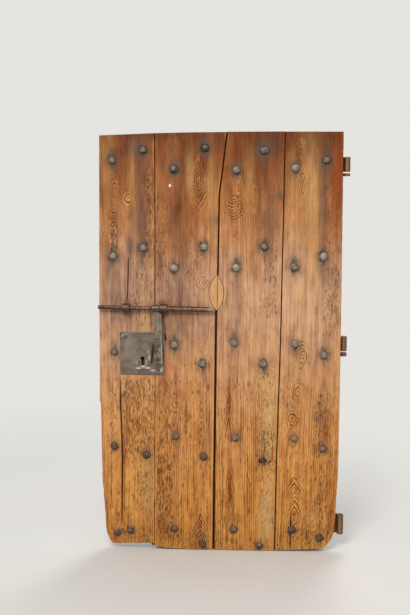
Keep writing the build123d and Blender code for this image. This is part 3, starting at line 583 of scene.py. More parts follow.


# Marks on the face, each (x, z, half width, half height, strength). Tones are rubbed pale, or dark below 0.
# Some are painted light: the broad pale sheen across the middle of planks 3 and 4, the painted shadow of the
# hasp's arm at x -305, and the painted shadow under the bolt rod at z 1100 and 1108
TONES_AND_LIGHT = [
    (-332, 1130, 34, 120, 0.5), (-330, 1040, 30, 60, 0.5), (355, 1205, 16, 30, 0.6),
    (222, 600, 24, 300, 1.0), (214, 160, 34, 130, 1.0), (505, 120, 8, 30, -0.6), (512, 210, 6, 40, -0.5),
    (492, 90, 7, 16, -0.5), (488, 160, 8, 34, 0.4), (-512, 170, 6, 60, -0.5), (-497, 260, 5, 40, -0.4),
    (440, 150, 50, 60, 0.35), (71, 1812, 12, 55, -1.2), (-70, 1768, 4, 34, -0.8), (-84, 1776, 3, 30, -0.6),
    (-56, 1780, 3, 26, -0.5), (-180, 1570, 14, 90, -0.6), (-343, 1560, 20, 190, -0.3),
    (44, 700, 7, 90, -0.6), (49, 320, 7, 100, -0.65), (345, 1800, 9, 40, -0.5), (-403, 1608, 9, 10, 0.3),
    (215, 570, 10, 16, -0.6), (-150, 1460, 60, 160, -0.25), (500, 1800, 40, 100, -0.15),
    (355, 905, 60, 90, 0.1), (360, 1700, 56, 190, 0.2), (-230, 1180, 40, 90, -0.25),
    # Painted sheen of the wax: the broad faint pale marks at (140, 1180) and (400, 1150)
    (-60, 1190, 30, 40, 0.2), (140, 700, 50, 300, 0.12), (140, 1180, 110, 260, 0.14),
    (400, 1150, 120, 260, 0.16), (-326, 300, 28, 180, 0.5), (-380, 360, 40, 160, 0.2),
    (-500, 330, 30, 300, 0.15), (410, 1400, 40, 300, 0.15), (-87, 130, 9, 34, -0.8),
    (341, 176, 9, 10, -0.5), (-440, 420, 10, 90, -0.4), (-150, 640, 8, 60, -0.5), (-40, 520, 7, 90, -0.4),
    (100, 560, 6, 120, -0.4), (130, 250, 6, 90, -0.4), (420, 300, 8, 60, -0.4), (365, 908, 7, 8, -0.2),
    (-262, 1330, 18, 50, -0.4), (-500, 1740, 22, 160, 0.35), (-385, 1690, 14, 120, 0.3),
    (-130, 1720, 16, 110, 0.4), (-40, 1620, 18, 200, 0.4), (-130, 1640, 16, 90, 0.2),
    (130, 1700, 18, 110, 0.35), (400, 1700, 26, 180, 0.3), (310, 1560, 16, 200, 0.2),
    (420, 1560, 16, 200, 0.2), (-250, 1880, 40, 20, -0.5), (240, 1860, 60, 40, -0.4),
    (-330, 1880, 60, 14, -0.3), (-480, 1380, 40, 60, -0.3), (-200, 1560, 22, 60, -0.4),
    (-160, 1390, 14, 90, -0.35), (-252, 1075, 8, 44, -0.9), (-244, 1025, 6, 30, -0.8),
    # Painted shadow of the hasp's arm on the wood: (-305, 1072)
    (-305, 1072, 6, 50, -1.1), (-415, 1099, 22, 9, -0.6), (-415, 1158, 16, 12, -0.5),
    # Painted shadow under the bolt rod: the thin dark lines at (-460, 1108) and (-150, 1100)
    (-258, 1152, 24, 12, -0.5), (-240, 985, 5, 18, -0.8), (-460, 1108, 60, 5, -0.35),
    (-150, 1100, 100, 5, -0.35),
]
GREYS = [
    (-396, 1395, 13, 52, 0.95), (-380, 1820, 30, 50, 0.25), (195, 1818, 34, 26, 0.6),
    (267, 1624, 14, 22, 0.9), (-202, 1736, 24, 24, 0.6), (-202, 958, 22, 48, 0.6), (-195, 805, 9, 26, 0.7),
    (454, 1600, 14, 200, 0.55), (462, 930, 14, 70, 0.5), (455, 1330, 18, 80, 0.45),
    (332, 1330, 34, 50, 0.4), (73, 1310, 24, 60, 0.4), (66, 1000, 20, 60, 0.4), (-322, 300, 20, 150, 0.3),
    (-308, 380, 10, 90, 0.25), (-334, 40, 13, 8, 0.8), (440, 630, 26, 50, 0.35), (470, 700, 14, 60, 0.25),
    (212, 540, 26, 120, 0.2), (212, 160, 30, 120, 0.2), (-405, 1150, 16, 30, 0.2), (-75, 1385, 24, 18, 0.3),
    (-470, 1260, 30, 90, 0.3), (196, 850, 26, 40, 0.35), (-420, 1240, 130, 160, 0.22),
    (-400, 1060, 130, 90, 0.18), (-160, 1060, 120, 110, 0.2), (240, 1500, 30, 120, 0.25),
    (-350, 1500, 22, 120, 0.35),
]
PURPLES = [
    (-410, 1200, 120, 260, 0.35), (-150, 1180, 110, 230, 0.3), (-200, 1020, 60, 80, 0.35),
    (60, 1050, 30, 300, 0.2), (-340, 1600, 26, 240, 0.85), (84, 1170, 16, 160, 0.55),
    (-170, 1190, 40, 110, 0.45), (-262, 1380, 14, 200, 0.4), (450, 1500, 18, 240, 0.45),
    (500, 1350, 34, 180, 0.35), (-73, 850, 26, 40, 0.5), (-470, 1180, 40, 120, 0.3),
    (210, 1400, 44, 260, 0.35), (420, 190, 20, 30, 0.4), (320, 690, 26, 60, 0.35),
    (-204, 420, 20, 200, 0.25), (-80, 60, 30, 30, 0.4), (180, 1800, 60, 60, 0.3),
    (-205, 1500, 24, 120, 0.4), (220, 1560, 34, 130, 0.3), (250, 1850, 30, 40, 0.4),
]
REDS = [
    (-248, 820, 26, 130, 0.6), (-150, 1560, 70, 120, 0.25), (520, 1700, 22, 220, 0.75),
    (70, 1800, 13, 50, 0.9), (505, 330, 24, 150, 0.3), (-55, 154, 10, 20, 0.6), (344, 176, 8, 10, 0.6),
    (482, 567, 20, 100, 0.3), (-440, 330, 12, 180, 0.25), (-180, 740, 60, 40, 0.35),
    (-262, 250, 20, 240, 0.35), (45, 690, 10, 120, 0.9), (49, 310, 10, 110, 0.9), (280, 1700, 10, 150, 0.2),
    (-240, 90, 60, 70, 0.25), (-475, 45, 22, 14, 0.6), (-380, 50, 24, 18, 0.4), (300, 60, 50, 20, 0.3),
    (340, 900, 90, 120, 0.12), (-62, 1790, 12, 40, 0.7), (-528, 200, 12, 120, 0.6),
    (520, 230, 12, 130, 0.5), (500, 150, 20, 60, 0.3), (480, 560, 22, 60, 0.4), (-100, 90, 20, 50, 0.4),
    (-500, 1700, 30, 160, 0.3), (20, 1720, 16, 120, 0.3), (500, 1560, 26, 160, 0.4),
]
# The place of the one chalky dot
CHALK = (-218, 1665)

# Worm-eaten zones: (x0, x1, z0, z1, how many galleries, longest in mm)
WORM = {
    1: [(-440, -292, 430, 800, 460, 32), (-535, -450, 60, 800, 230, 22), (-440, -300, 40, 430, 190, 18),
        (-372, -325, 275, 370, 34, 14), (-490, -452, 1380, 1560, 70, 12), (-520, -470, 1300, 1420, 14, 10),
        (-395, -292, 1030, 1350, 120, 18), (-330, -288, 1350, 1740, 130, 16),
        (-530, -300, 26, 110, 100, 12)],
    2: [(-285, -210, 60, 800, 330, 26), (-285, -215, 100, 420, 190, 16), (-210, -40, 60, 800, 240, 30),
        (-140, -75, 1250, 1420, 44, 12), (-285, -225, 1080, 1620, 110, 16), (-200, -40, 800, 880, 26, 26),
        (-290, -40, 5, 100, 150, 12)],
    3: [(165, 250, 130, 900, 330, 14), (0, 150, 30, 800, 150, 30), (195, 255, 1080, 1420, 110, 18),
        (195, 255, 380, 560, 90, 14), (170, 215, 1100, 1200, 10, 8), (-10, 60, 30, 300, 60, 14),
        (-20, 250, 5, 60, 70, 10)],
    4: [(455, 530, 1000, 1300, 110, 26), (450, 530, 60, 420, 230, 20), (420, 530, 420, 740, 240, 18),
        (300, 450, 30, 420, 120, 18), (462, 520, 1300, 1700, 50, 22), (270, 330, 60, 900, 70, 20),
        (380, 470, 20, 260, 70, 14), (485, 535, 1040, 1330, 60, 10), (260, 520, 10, 110, 120, 12)],
}


def marks(x, z, table):
    # All the marks of a table at the points, with ragged edges
    total = np.zeros_like(x)
    ragged = soft_noise(x, z, 14, 60, 91) * 0.35 + soft_noise(x, z, 5, 24, 92) * 0.2 + 1
    for mx, mz, wide, high, strength in table:
        total += strength * spot(x, z, (mx, mz), (wide, high)) * ragged
    return total


# Planks

# How far the first columns and rows of a face lie from its edges
COLUMN_EDGES = (0.0, 0.7, 1.6, 3.0, 5.0)
ROW_EDGES = np.array([0.0, 0.8, 2.0, 4.0])
# Where the even rows start, how far apart they lie, and the height that they are laid out for
ROW_INSET = 7.0
ROW_STEP = 4.6
FACE_H = 1880.0
# Over how much of its depth the side of a plank steps sideways
LEDGE = 0.6
# How strongly rust and soot mark the wood round the nails, row by row from the top
NAIL_STAINS = (0.9, 0.85, 0.6, 0.3, 0.2)


def split_share(line, z):
    # How open a split is at this height: 1 in its middle, 0 at and past its ends
    low, high = line[0][1], line[-1][1]
    reach = 0.16 * (high - low)
    return smooth_step((z - low) / reach) * smooth_step((high - z) / reach)


def split_place(line, width, z):
    # x of a split's middle, and half its width, at the heights z
    middle = along(line, z) + soft_noise(z * 0, z, 9, 24, 3) * 1.1
    return middle, 0.4 + width / 2 * split_share(line, z)


def plank_columns(plan, z, counts):
    # Places of all the columns at the heights z: close together at the edges and at the splits
    left, right = plan["left"](z), plan["right"](z)
    groups = [np.stack([left + d for d in COLUMN_EDGES])]
    for line, width, _ in sorted(plan["splits"], key=lambda s: s[0][0][0]):
        middle, half = split_place(line, width, z)
        groups.append(np.stack([
            middle - half - 3, middle - half, middle - half * 0.55,
            middle + half * 0.55, middle + half, middle + half + 3]))
    groups.append(np.stack([right - d for d in COLUMN_EDGES[::-1]]))
    columns = [groups[0]]
    for before, after, count in zip(groups[:-1], groups[1:], counts):
        start, end = before[-1], after[0]
        shares = np.arange(1, count) / count
        columns.append(start + (end - start) * shares.reshape((-1,) + (1,) * start.ndim))
        columns.append(after)
    return np.concatenate(columns)


def row_shares(height):
    # Shares of the height for all the rows, closer at the top and at the foot
    inner = np.linspace(ROW_INSET, height - ROW_INSET, int(height / ROW_STEP))
    return np.concatenate([ROW_EDGES, inner, height - ROW_EDGES[::-1]]) / height


def plank_face(plan):
    # x and z of every point of the front face, in columns and rows. The foot and the top are found at columns
    # laid at rough heights, then the columns are laid again at the true ones
    shares = row_shares(FACE_H)
    counts = plan["counts"]
    rough = [plank_columns(plan, np.full(1, 100.0 + 1700 * s), counts)[:, 0] for s in shares]
    guess = np.stack(rough, axis=1)
    count = guess.shape[0]
    foot = worn_foot(plan["foot"], guess)
    top = level(plan["top"], guess)
    z = foot + shares * (top - foot)
    x = np.empty_like(z)
    for row in range(z.shape[1]):
        columns = plank_columns(plan, z[:, row], counts)
        x[:, row] = columns[np.arange(count), np.arange(count)]
    return x, z


def worm_share(number, x, z):
    # How densely the galleries lie
    total = np.zeros_like(x)
    for x0, x1, z0, z1, count, _ in WORM[number]:
        across = smooth_step((x - x0) / 14 + 0.5) * smooth_step((x1 - x) / 14 + 0.5)
        upward = smooth_step((z - z0) / 50 + 0.5) * smooth_step((z1 - z) / 50 + 0.5)
        total += across * upward * min(1.0, count / ((x1 - x0) * (z1 - z0)) * 90)
    return total


def carve_galleries(number, x, z, depth, dirt):
    # Cuts the worm galleries into the depth, each a short trough along the grain, and fills them with dirt
    rng = np.random.default_rng(300 + number)
    height = z[z.shape[0] // 2]
    for x0, x1, z0, z1, count, longest in WORM[number]:
        for _ in range(count):
            cx, cz = rng.uniform(x0, x1), rng.uniform(z0, z1)
            length = rng.uniform(5.0, longest * 1.3) * rng.uniform(0.4, 1.0)
            wide = rng.uniform(1.1, 2.8)
            deep = rng.uniform(0.8, 3.2)
            lean = rng.uniform(-0.06, 0.06)
            rows = slice(*np.searchsorted(height, (cz - length, cz + length)))
            middle = x[:, rows.start if rows.start < x.shape[1] else -1]
            columns = slice(*np.searchsorted(middle, (cx - wide - 2, cx + wide + 2)))
            up = z[columns, rows] - cz
            near = ((x[columns, rows] - cx - lean * up) / wide) ** 2 + (up / (length / 2 + 2)) ** 2
            share = np.clip(1.25 - near, 0, 1)
            depth[columns, rows] = np.maximum(depth[columns, rows], deep * share)
            filled = share * rng.uniform(0.25, 0.97) ** 1.5
            dirt[columns, rows] = np.maximum(dirt[columns, rows], filled)


def arris(distance, radius):
    # How far a rounded arris falls away at a distance from the edge
    inside = np.clip(radius - distance, 0, None)
    return radius - np.sqrt(np.clip(radius * radius - inside * inside, 0, None))


def plank_relief(number, plan, x, z):
    # Depth of every point behind the front face, and the dirt that has settled there
    left, right = plan["left"](z), plan["right"](z)
    near_side = np.minimum(x - left, right - x)
    rings = growth_rings(number, x, z)
    phase = rings - np.floor(rings)
    ridge = smooth_step(phase) * (1 - smooth_step((phase - 0.9) * 10))
    planed = soft_noise(x, z, 60, 170, 21 * number) * 0.5 + soft_noise(x, z, 26, 420, 22 * number) * 0.35
    worn = soft_noise(x, z, 9, 60, 23 * number) * 0.22
    pits = np.clip(soft_noise(x, z, 5.5, 13, 24 * number) + 0.1, 0, 1)
    pitted = worm_share(number, x, z) * pits * 1.1
    depth = 1.1 + planed + worn + pitted - ridge * 0.35
    # Rounded arris, knocked about here and there, and more so low on the leaf's outer sides
    low_corner = smooth_step((500 - z) / 300) * smooth_step((np.abs(x) - 480) / 40)
    knocks = low_corner * 5.0 * np.clip(0.4 + soft_noise(x * 0, z, 40, 15, 35), 0, 1)
    short = np.clip(soft_noise(x * 0, z, 40, 26, 31 * number) - 0.25, 0, 1)
    tall = np.clip(soft_noise(x * 0, z, 40, 90, 32 * number), 0, 1)
    knocks += short * 3.0 + tall * 1.6
    depth += arris(near_side, 2.6 + knocks)
    ends = np.minimum(z - worn_foot(plan["foot"], x), level(plan["top"], x) - z)
    depth += arris(ends, 3.0)
    dirt = np.zeros_like(x)
    by_seam_a = (np.abs(x - along(SEAM_A, z)) < 20) & (z < 800)
    at_seam = np.array(plan["seams"])[(x > (left + right) / 2).astype(int)]
    dirt += np.clip(1 - near_side / 2.2, 0, 1) * np.where(by_seam_a, 0.35, 0.85) * at_seam
    dirt += np.clip(1 - ends / 4.0, 0, 1) * 0.4
    carve_galleries(number, x, z, depth, dirt)
    return depth, np.clip(dirt, 0, 1)


def open_splits(plan, x, z, depth, dirt):
    # Cuts the open splits into the depth and darkens them
    for line, width, deep in plan["splits"]:
        share = split_share(line, z)
        middle, half = split_place(line, width, z)
        off = np.abs(x - middle)
        floor_share = np.clip((half - off) / (half * 0.42), 0, 1)
        depth[:] = np.maximum(depth, deep * floor_share * np.sqrt(share))
        dirt[:] = np.maximum(dirt, np.clip(1.5 - off / (half + 0.6), 0, 1) * np.clip(share * 3, 0, 1))


def nail_marks(x, z):
    # Bluish stains and dark soot round the nails, run up and down the grain, and a painted shadow just below
    # each head
    rng = np.random.default_rng(77)
    blue = np.zeros_like(x)
    dark = np.zeros_like(x)
    for row, stain in zip(HEADS, NAIL_STAINS):
        for nx, nz, *_ in row:
            side, up, down = rng.uniform(-6, 6), rng.uniform(14, 60), rng.uniform(20, 70)
            blue += spot(x, z, (nx + side, nz + rng.uniform(-6, 6)), (26, 29)) * 1.1 * stain
            blue += spot(x, z, (nx + side, nz - down * 0.7), (11, down)) * 0.45 * stain
            blue += spot(x, z, (nx - side, nz + up * 0.7), (11, up)) * 0.45 * stain
            ring = (nx + rng.uniform(-3, 3), nz + rng.uniform(-4, 3))
            dark += spot(x, z, ring, (21.5, 21.5)) * (0.15 + 0.45 * stain)
            # Painted shadow just below the head
            dark += spot(x, z, (nx + rng.uniform(-2, 2), nz - 13), (15, 9)) * 0.35
    ragged = 1 + soft_noise(x, z, 8, 15, 78) * 0.7 + soft_noise(x, z, 4, 7, 79) * 0.5
    return blue * ragged, dark * ragged


def lay_grid(bm, x, y, z):
    # A face through points in columns and rows. Gives back the column and the row of each of its vertices
    columns, rows = x.shape
    bmesh.ops.create_grid(bm, x_segments=columns - 1, y_segments=rows - 1, size=0.5)
    flat = np.array([v.co[:2] for v in bm.verts])
    i = np.rint((flat[:, 0] + 0.5) * (columns - 1)).astype(int)
    j = np.rint((flat[:, 1] + 0.5) * (rows - 1)).astype(int)
    for vert, point in zip(bm.verts, np.stack([x[i, j], y[i, j], z[i, j]], axis=1)):
        vert.co = point
    return i, j


def carry_rim(bm, edges):
    # Extrudes the edges. Gives back the new vertices and the new edges
    made = bmesh.ops.extrude_edge_only(bm, edges=edges)["geom"]
    verts = [g for g in made if isinstance(g, bmesh.types.BMVert)]
    return verts, [g for g in made if isinstance(g, bmesh.types.BMEdge)]


def extrude_back(bm, number, plan):
    # Carries the rim of the face back, past the let-in repair and through the half lap, and closes the back
    edges = [e for e in bm.edges if e.is_boundary]
    patch = ((PATCH_D, None), (PATCH_D + LEDGE, "seam"))
    lap = ((LAP_D, None), (LAP_D + LEDGE, "lap"))
    for depth_y, move in (*patch, *lap, (PLANK_T, None)):
        verts, edges = carry_rim(bm, edges)
        x = np.array([v.co.x for v in verts])
        z = np.array([v.co.z for v in verts])
        left, right = plan["left"](z), plan["right"](z)
        share = np.clip((x - left) / (right - left), 0, 1)
        if move == "seam":
            by_patch = (z > PATCH_FOOT) & (z < PATCH_TOP)
            if number == 2:
                x = np.where(by_patch & (share > 0.99), seam_edge(SEAM_B, GAP_B, -1)(z), x)
            if number == 3:
                x = np.where(by_patch & (share < 0.01), seam_edge(SEAM_B, GAP_B, 1)(z), x)
        if move == "lap":
            x = x - LAP_W * (plan["seams"][0] * (1 - share) + plan["seams"][1] * share)
        for k, vert in enumerate(verts):
            vert.co.x = x[k]
            vert.co.y = max(vert.co.y + 0.1, depth_y)
    bmesh.ops.triangle_fill(bm, edges=edges, use_beauty=True)


def make_plank(number):
    # Front face with its relief, sides and back, then the values that its material reads
    plan = PLANKS[number]
    x, z = plank_face(plan)
    depth, dirt = plank_relief(number, plan, x, z)
    open_splits(plan, x, z, depth, dirt)
    if number < 3:
        x0, x1, z0, z1, deep = POCKET
        hollow = (x > x0) & (x < x1) & (z > z0) & (z < z1)
        depth = np.where(hollow, deep, depth)
        dirt = np.where(hollow, 1.0, dirt)
    bm = bmesh.new()
    i, j = lay_grid(bm, x, depth, z)
    front = len(bm.verts)
    extrude_back(bm, number, plan)
    for face in bm.faces:
        face.material_index = 1 if min(v.co.y for v in face.verts) > PLANK_T - 0.5 else 0
    bmesh.ops.recalc_face_normals(bm, faces=bm.faces[:])
    node = "plank_" + str(number)
    mesh = make_piece("pine_" + node, bm, (OLD_PINE, PLANK_BACK), "leaf", (node,)).data
    points = np.empty(len(mesh.vertices) * 3, dtype=np.float32)
    mesh.vertices.foreach_get("co", points)
    points = points.reshape((-1, 3)).astype(float)
    px, pz = points[:, 0], points[:, 2]
    left, right = plan["left"](pz), plan["right"](pz)
    # The vertices of the face come first, and the rest lie on the sides and the back
    side = np.where(px > (left + right) / 2, plan["seams"][1], plan["seams"][0])
    all_dirt = np.where(side > 0, 0.95, 0.3)
    all_dirt[:front] = dirt[i, j]
    blue, dark = nail_marks(px, pz)
    lines, shown, share = ring_figure(number, px, pz)
    eaten = worm_share(number, px, pz)
    rim = np.minimum(px - left, right - px)
    # A pale line along the plank's edges: rubbed wear and a painted highlight on the rounded arris
    rubbed_and_highlit = spot(rim, rim * 0, (5.0, 0), (3.2, 1))
    rubbed_and_highlit = rubbed_and_highlit * np.clip(soft_noise(px * 0, pz, 9, 70, 41 * number) + 0.2, 0, 1) * 0.4
    mottled = eaten * soft_noise(px, pz, 6, 15, 25 * number) * 0.5
    attributes = {
        "ring": growth_rings(number, px, pz),
        "nest": lines,
        "nest_share": shown,
        "figure": ring_strength(number, px, pz, share),
        "chalk": np.clip(spot(px, pz, CHALK, (5.5, 6.5)) * 2.4 - 0.6, 0, 1),
        "tone": np.clip(marks(px, pz, TONES_AND_LIGHT) + rubbed_and_highlit + mottled, -1, 1),
        "grey": np.clip(marks(px, pz, GREYS) + blue, 0, 1),
        "purple": np.clip(marks(px, pz, PURPLES), 0, 1),
        "red": np.clip(marks(px, pz, REDS), 0, 1),
        "worm": np.clip(0.15 + eaten, 0, 1),
        # Dirt, with the painted shadow below the nail heads from nail_marks
        "dirt": np.clip(all_dirt + dark, 0, 1),
    }
    for name, values in attributes.items():
        keep_attribute(mesh, name, values)
    mesh.vertices.foreach_set("co", np.asarray(metres(points), dtype=np.float32).ravel())
    mesh.update()


for number in (1, 2, 3, 4):
    make_plank(number)


def to_metres(bm):
    # Moves a shape that was made in the leaf's mm
    for vert in bm.verts:
        vert.co = metres(vert.co)


def closed_board(x, y, z, back_y):
    # A face through the points x, y, z, with its rim carried to back_y and closed there
    bm = bmesh.new()
    lay_grid(bm, x, y, z)
    verts, edges = carry_rim(bm, [e for e in bm.edges if e.is_boundary])
    for vert in verts:
        vert.co.y = back_y
    bmesh.ops.triangle_fill(bm, edges=edges, use_beauty=True)
    bmesh.ops.recalc_face_normals(bm, faces=bm.faces[:])
    to_metres(bm)
    return bm


# Let-in repair: two halves of a pointed oval, planed flush, over the open seam
def make_patch(name, side, reach):
    shares = np.linspace(0, 1, 60)
    z = PATCH_FOOT + 1.0 + (PATCH_TOP - PATCH_FOOT - 2.0) * shares
    inner = np.full_like(z, PATCH_X + side * 0.9)
    outer = patch_bow(z, side, reach) - side * 0.7
    outer = np.where(side * (outer - inner) < 0.5, inner + side * 0.5, outer)
    across = np.array([0.0, 0.04, 0.1, 0.2, 0.35, 0.5, 0.65, 0.8, 0.9, 0.96, 1.0]).reshape(-1, 1)
    x = inner + (outer - inner) * across
    z = np.repeat(z.reshape(1, -1), len(across), axis=0)
    rim = np.minimum(np.abs(x - inner), np.abs(x - outer))
    y = 0.9 + np.clip(1.4 - rim, 0, None) ** 2 * 0.5 + soft_noise(x, z, 14, 60, 61) * 0.2
    bm = closed_board(x, y, z, PATCH_D - 0.1)
    make_piece("let_in_" + name, bm, (PATCH_PINE,), "leaf", ("patch_" + name,))


make_patch("left", -1, REACH_LEFT)
make_patch("right", 1, REACH_RIGHT)

# Battens across the back, one behind each row of nails: where they end on either side, the heights of their
# middle lines, and half their width. The lowest has a worn foot and a top of its own
BATTEN_END = 516.0
ROW_Z = [1779.0, 1350.0, 921.0, 487.0, 66.0]
BATTEN_HALF = 75.0
LAST_FOOT = [
    (-516, 90), (-500, 66), (-476, 36), (-292, 36), (-228, 10), (440, 10), (476, 24), (500, 66), (516, 100)]
LAST_TOP = 148.0


def make_batten(row):
    # A board with knocked arrises, a little uneven in its width
    edge = np.array([0, 1, 2.5, 5])
    inner = np.linspace(10, 2 * BATTEN_END - 10, 176)
    across = np.concatenate([edge, inner, 2 * BATTEN_END - edge[::-1]]) - BATTEN_END
    shares = np.concatenate([[0, 0.006, 0.015, 0.03], np.linspace(0.06, 0.94, 34), [0.97, 0.985, 0.994, 1]])
    x = np.repeat(across.reshape(-1, 1), len(shares), axis=1)
    last = row == len(ROW_Z) - 1
    foot = level(LAST_FOOT, x) if last else ROW_Z[row] - BATTEN_HALF
    top = LAST_TOP if last else ROW_Z[row] + BATTEN_HALF
    foot = foot + np.clip(soft_noise(x, x * 0, 90, 50, 70 + row), -0.2, 1) * 1.6 + 0.5
    top = top - np.clip(soft_noise(x, x * 0, 120, 50, 80 + row), -0.2, 1) * 1.6 - 0.5
    z = foot + (top - foot) * shares
    rim = np.minimum(np.minimum(z - foot, top - z), BATTEN_END - np.abs(x))
    knocks = np.clip(soft_noise(x, z * 0, 34, 50, 85 + row), 0, 1) * 3.0
    depth = 0.5 + arris(rim, 2.0 + knocks)
    depth += soft_noise(x, z, 260, 30, 90 + row) * 0.35 + soft_noise(x, z, 60, 5, 95 + row) * 0.18
    bm = closed_board(x, BACK - depth, z, PLANK_T + 0.2)
    node = "batten_" + str(row + 1)
    make_piece("pine_" + node, bm, (BATTEN_PINE,), "leaf", (node,))


for row in range(5):
    make_batten(row)

# Nails, each beaten by hand: a domed head with flats, a square shank and a tip bent over at the back.
# The least and greatest height of a head, the shank's width, how far the tip reaches to the side, its depth
# at the bend, and its width and depth at the end
HEAD_H = (7.6, 9.0)
SHANK = 7.0
TIP_REACH = 24.0
BEND_DEPTH = 4.0
TIP_WIDTH = 4.0
TIP_DEPTH = 1.2
# The straps of the hinges: their thickness, where they start, and the rows of nails that pass through them
STRAP_T = 6.0
STRAP_X = 300
STRAP_ROWS = (0, 2, 4)


def hammered_head(bm, x, z, wide, high, height, rng):
    # A dome cut back to nine flats on its crown, four round its rim and one on top
    made = bmesh.ops.create_icosphere(bm, subdivisions=4, radius=1.0)["verts"]
    flats = []
    for _ in range(9):
        turn = rng.uniform(0, 2 * pi)
        tilt = rng.uniform(0.15, 1.25)
        facing = Vector((cos(turn) * sin(tilt), -cos(tilt), sin(turn) * sin(tilt)))
        flats.append((facing, rng.uniform(0.86, 0.97)))
    for _ in range(4):
        turn = rng.uniform(0, 2 * pi)
        flats.append((Vector((cos(turn), 0, sin(turn))), rng.uniform(0.84, 0.95)))
    flats.append((Vector((0, -1, 0)), 0.95))
    for vert in made:
        way = vert.co.normalized()
        reach = 1.0
        for facing, far in flats:
            lean = way.dot(facing)
            if lean > 0.2:
                reach = min(reach, far / lean)
        vert.co = Vector((x + way.x * reach * wide, way.y * reach * height, z + way.z * reach * high))
        if vert.co.y > 0:
            vert.co.y = min(vert.co.y, height) * 0.25


def shank_and_tip(bm, row, x, z):
    # The shank passes through plank and batten, and through the strap of a hinge where one lies over them.
    # The tip is bent over towards the middle of the leaf
    end = BACK + (STRAP_T if row in STRAP_ROWS and x > STRAP_X else 0.0)
    shank = Matrix.Translation((x, end / 2, z)) @ Matrix.Diagonal((SHANK, end, SHANK, 1.0))
    bmesh.ops.create_cube(bm, size=1.0, matrix=shank)
    toward = -1 if x > 0 else 1
    for vert in bmesh.ops.create_cube(bm, size=1.0)["verts"]:
        out = vert.co.x * toward > 0
        vert.co.z = z + vert.co.z * (TIP_WIDTH if out else SHANK)
        vert.co.y = end + (0.0 if vert.co.y < 0 else (TIP_DEPTH if out else BEND_DEPTH))
        vert.co.x = x + toward * (TIP_REACH if out else -SHANK / 2)


def make_nails(row, material):
    # All the nails of one row, and where their heads are rubbed or dark, with a painted glint near each crown
    # and painted shade round the rim and over the lower side
    rng = np.random.default_rng(500 + row)
    bm = bmesh.new()
    for x, z, wide, high, _ in HEADS[row]:
        centre = (x + rng.uniform(-0.6, 0.6), z + rng.uniform(-0.6, 0.6))
        hammered_head(bm, *centre, wide, high, rng.uniform(*HEAD_H), rng)
        shank_and_tip(bm, row, x, z)
    points = np.array([v.co[:] for v in bm.verts])
    px, pz = points[:, 0], points[:, 2]
    rub_and_light = np.zeros(len(points))
    for x, z, wide, high, shade in HEADS[row]:
        far = np.hypot((px - x) / wide, (pz - z) / high)
        # A painted glint near the crown, painted shade round the rim and on the lower side of the head
        painted_glint = spot(px, pz, (x + rng.uniform(-5, 5), z + rng.uniform(-2, 6)), (5, 5))
        uneven = soft_noise(px, pz, 7, 7, 160 + row) * 0.3
        rim = 0.4 * smooth_step((far - 0.66) / 0.3)
        painted_shade_below = 0.3 * smooth_step((z - 5 - pz) / 8)
        rub_and_light += (far < 1.2) * (shade + uneven + painted_glint * rng.uniform(0.2, 0.6) - rim - painted_shade_below)
    to_metres(bm)
    number = str(row + 1)
    piece = make_piece("nails_" + number, bm, (material,), "leaf", ("nails_row_" + number,))
    keep_attribute(piece.data, "rub_and_light", np.clip(rub_and_light, -1, 1))


for row in range(5):
    make_nails(row, GREY_NAIL_IRON if row < 3 else BROWN_NAIL_IRON)


# Ironwork

def even_mesh(node, grain):
    # The node's own shape as an even mesh of cells of grain mm
    bm = bmesh.new()
    bm.from_mesh(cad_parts[node].data)
    bmesh.ops.remove_doubles(bm, verts=bm.verts[:], dist=1e-6)
    mesh = bpy.data.meshes.new(node + "_even")
    bm.to_mesh(mesh)
    bm.free()
    holder = bpy.data.objects.new(node + "_even", mesh)
    bpy.context.scene.collection.objects.link(holder)
    cells = holder.modifiers.new("cells", "REMESH")
    cells.mode = "VOXEL"
    cells.voxel_size = grain / 1000.0
    graph = bpy.context.evaluated_depsgraph_get()
    even = bpy.data.meshes.new_from_object(holder.evaluated_get(graph))
    bpy.data.objects.remove(holder)
    return even


def forged_copy(name, node, grain, material, body, dent, rounds, seed, worked_and_lit=()):
    # The node's own shape, with its arrises worn round and its flats left uneven by the hammer.
    # Dent is how deep the hammer went in mm, and rounds how often the shape is smoothed.
    # Each worked place is (x, z, half width, half height, rise in mm, rub), seen from the front. Its rub
    # pales it
    # above 0 and darkens it below: rubbed and sooty places, and painted highlights and painted shade
    bm = bmesh.new()
    bm.from_mesh(even_mesh(node, grain))
    for _ in range(rounds):
        bmesh.ops.smooth_vert(
            bm, verts=bm.verts[:], factor=0.5, use_axis_x=True, use_axis_y=True, use_axis_z=True)
    bm.normal_update()
    points = np.array([v.co[:] for v in bm.verts]) * 1000.0
    u = points[:, 0] + points[:, 1] * 0.63
    v = points[:, 2] - points[:, 1] * 0.55
    blows = soft_noise(u, v, 11, 13, seed) * dent
    swell = blows + soft_noise(u, v, 3.2, 3.6, seed + 1) * dent * 0.4 - dent * 1.45
    facing = np.clip(np.array([-v.normal.y for v in bm.verts]), 0, 1)
    rub_and_light = np.zeros(len(points))
    x, z = points[:, 0] + ORIGIN[0], points[:, 2] + ORIGIN[2]
    for wx, wz, wide, high, rise, shine in worked_and_lit:
        place = spot(x, z, (wx, wz), (wide, high))
        swell += rise * place * facing
        rub_and_light += shine * place
    for vert, far in zip(bm.verts, swell):
        vert.co += vert.normal * (far / 1000.0)
    piece = make_piece(name, bm, (material,), body, (node,))
    keep_attribute(piece.data, "rub_and_light", np.clip(rub_and_light, -1, 1))
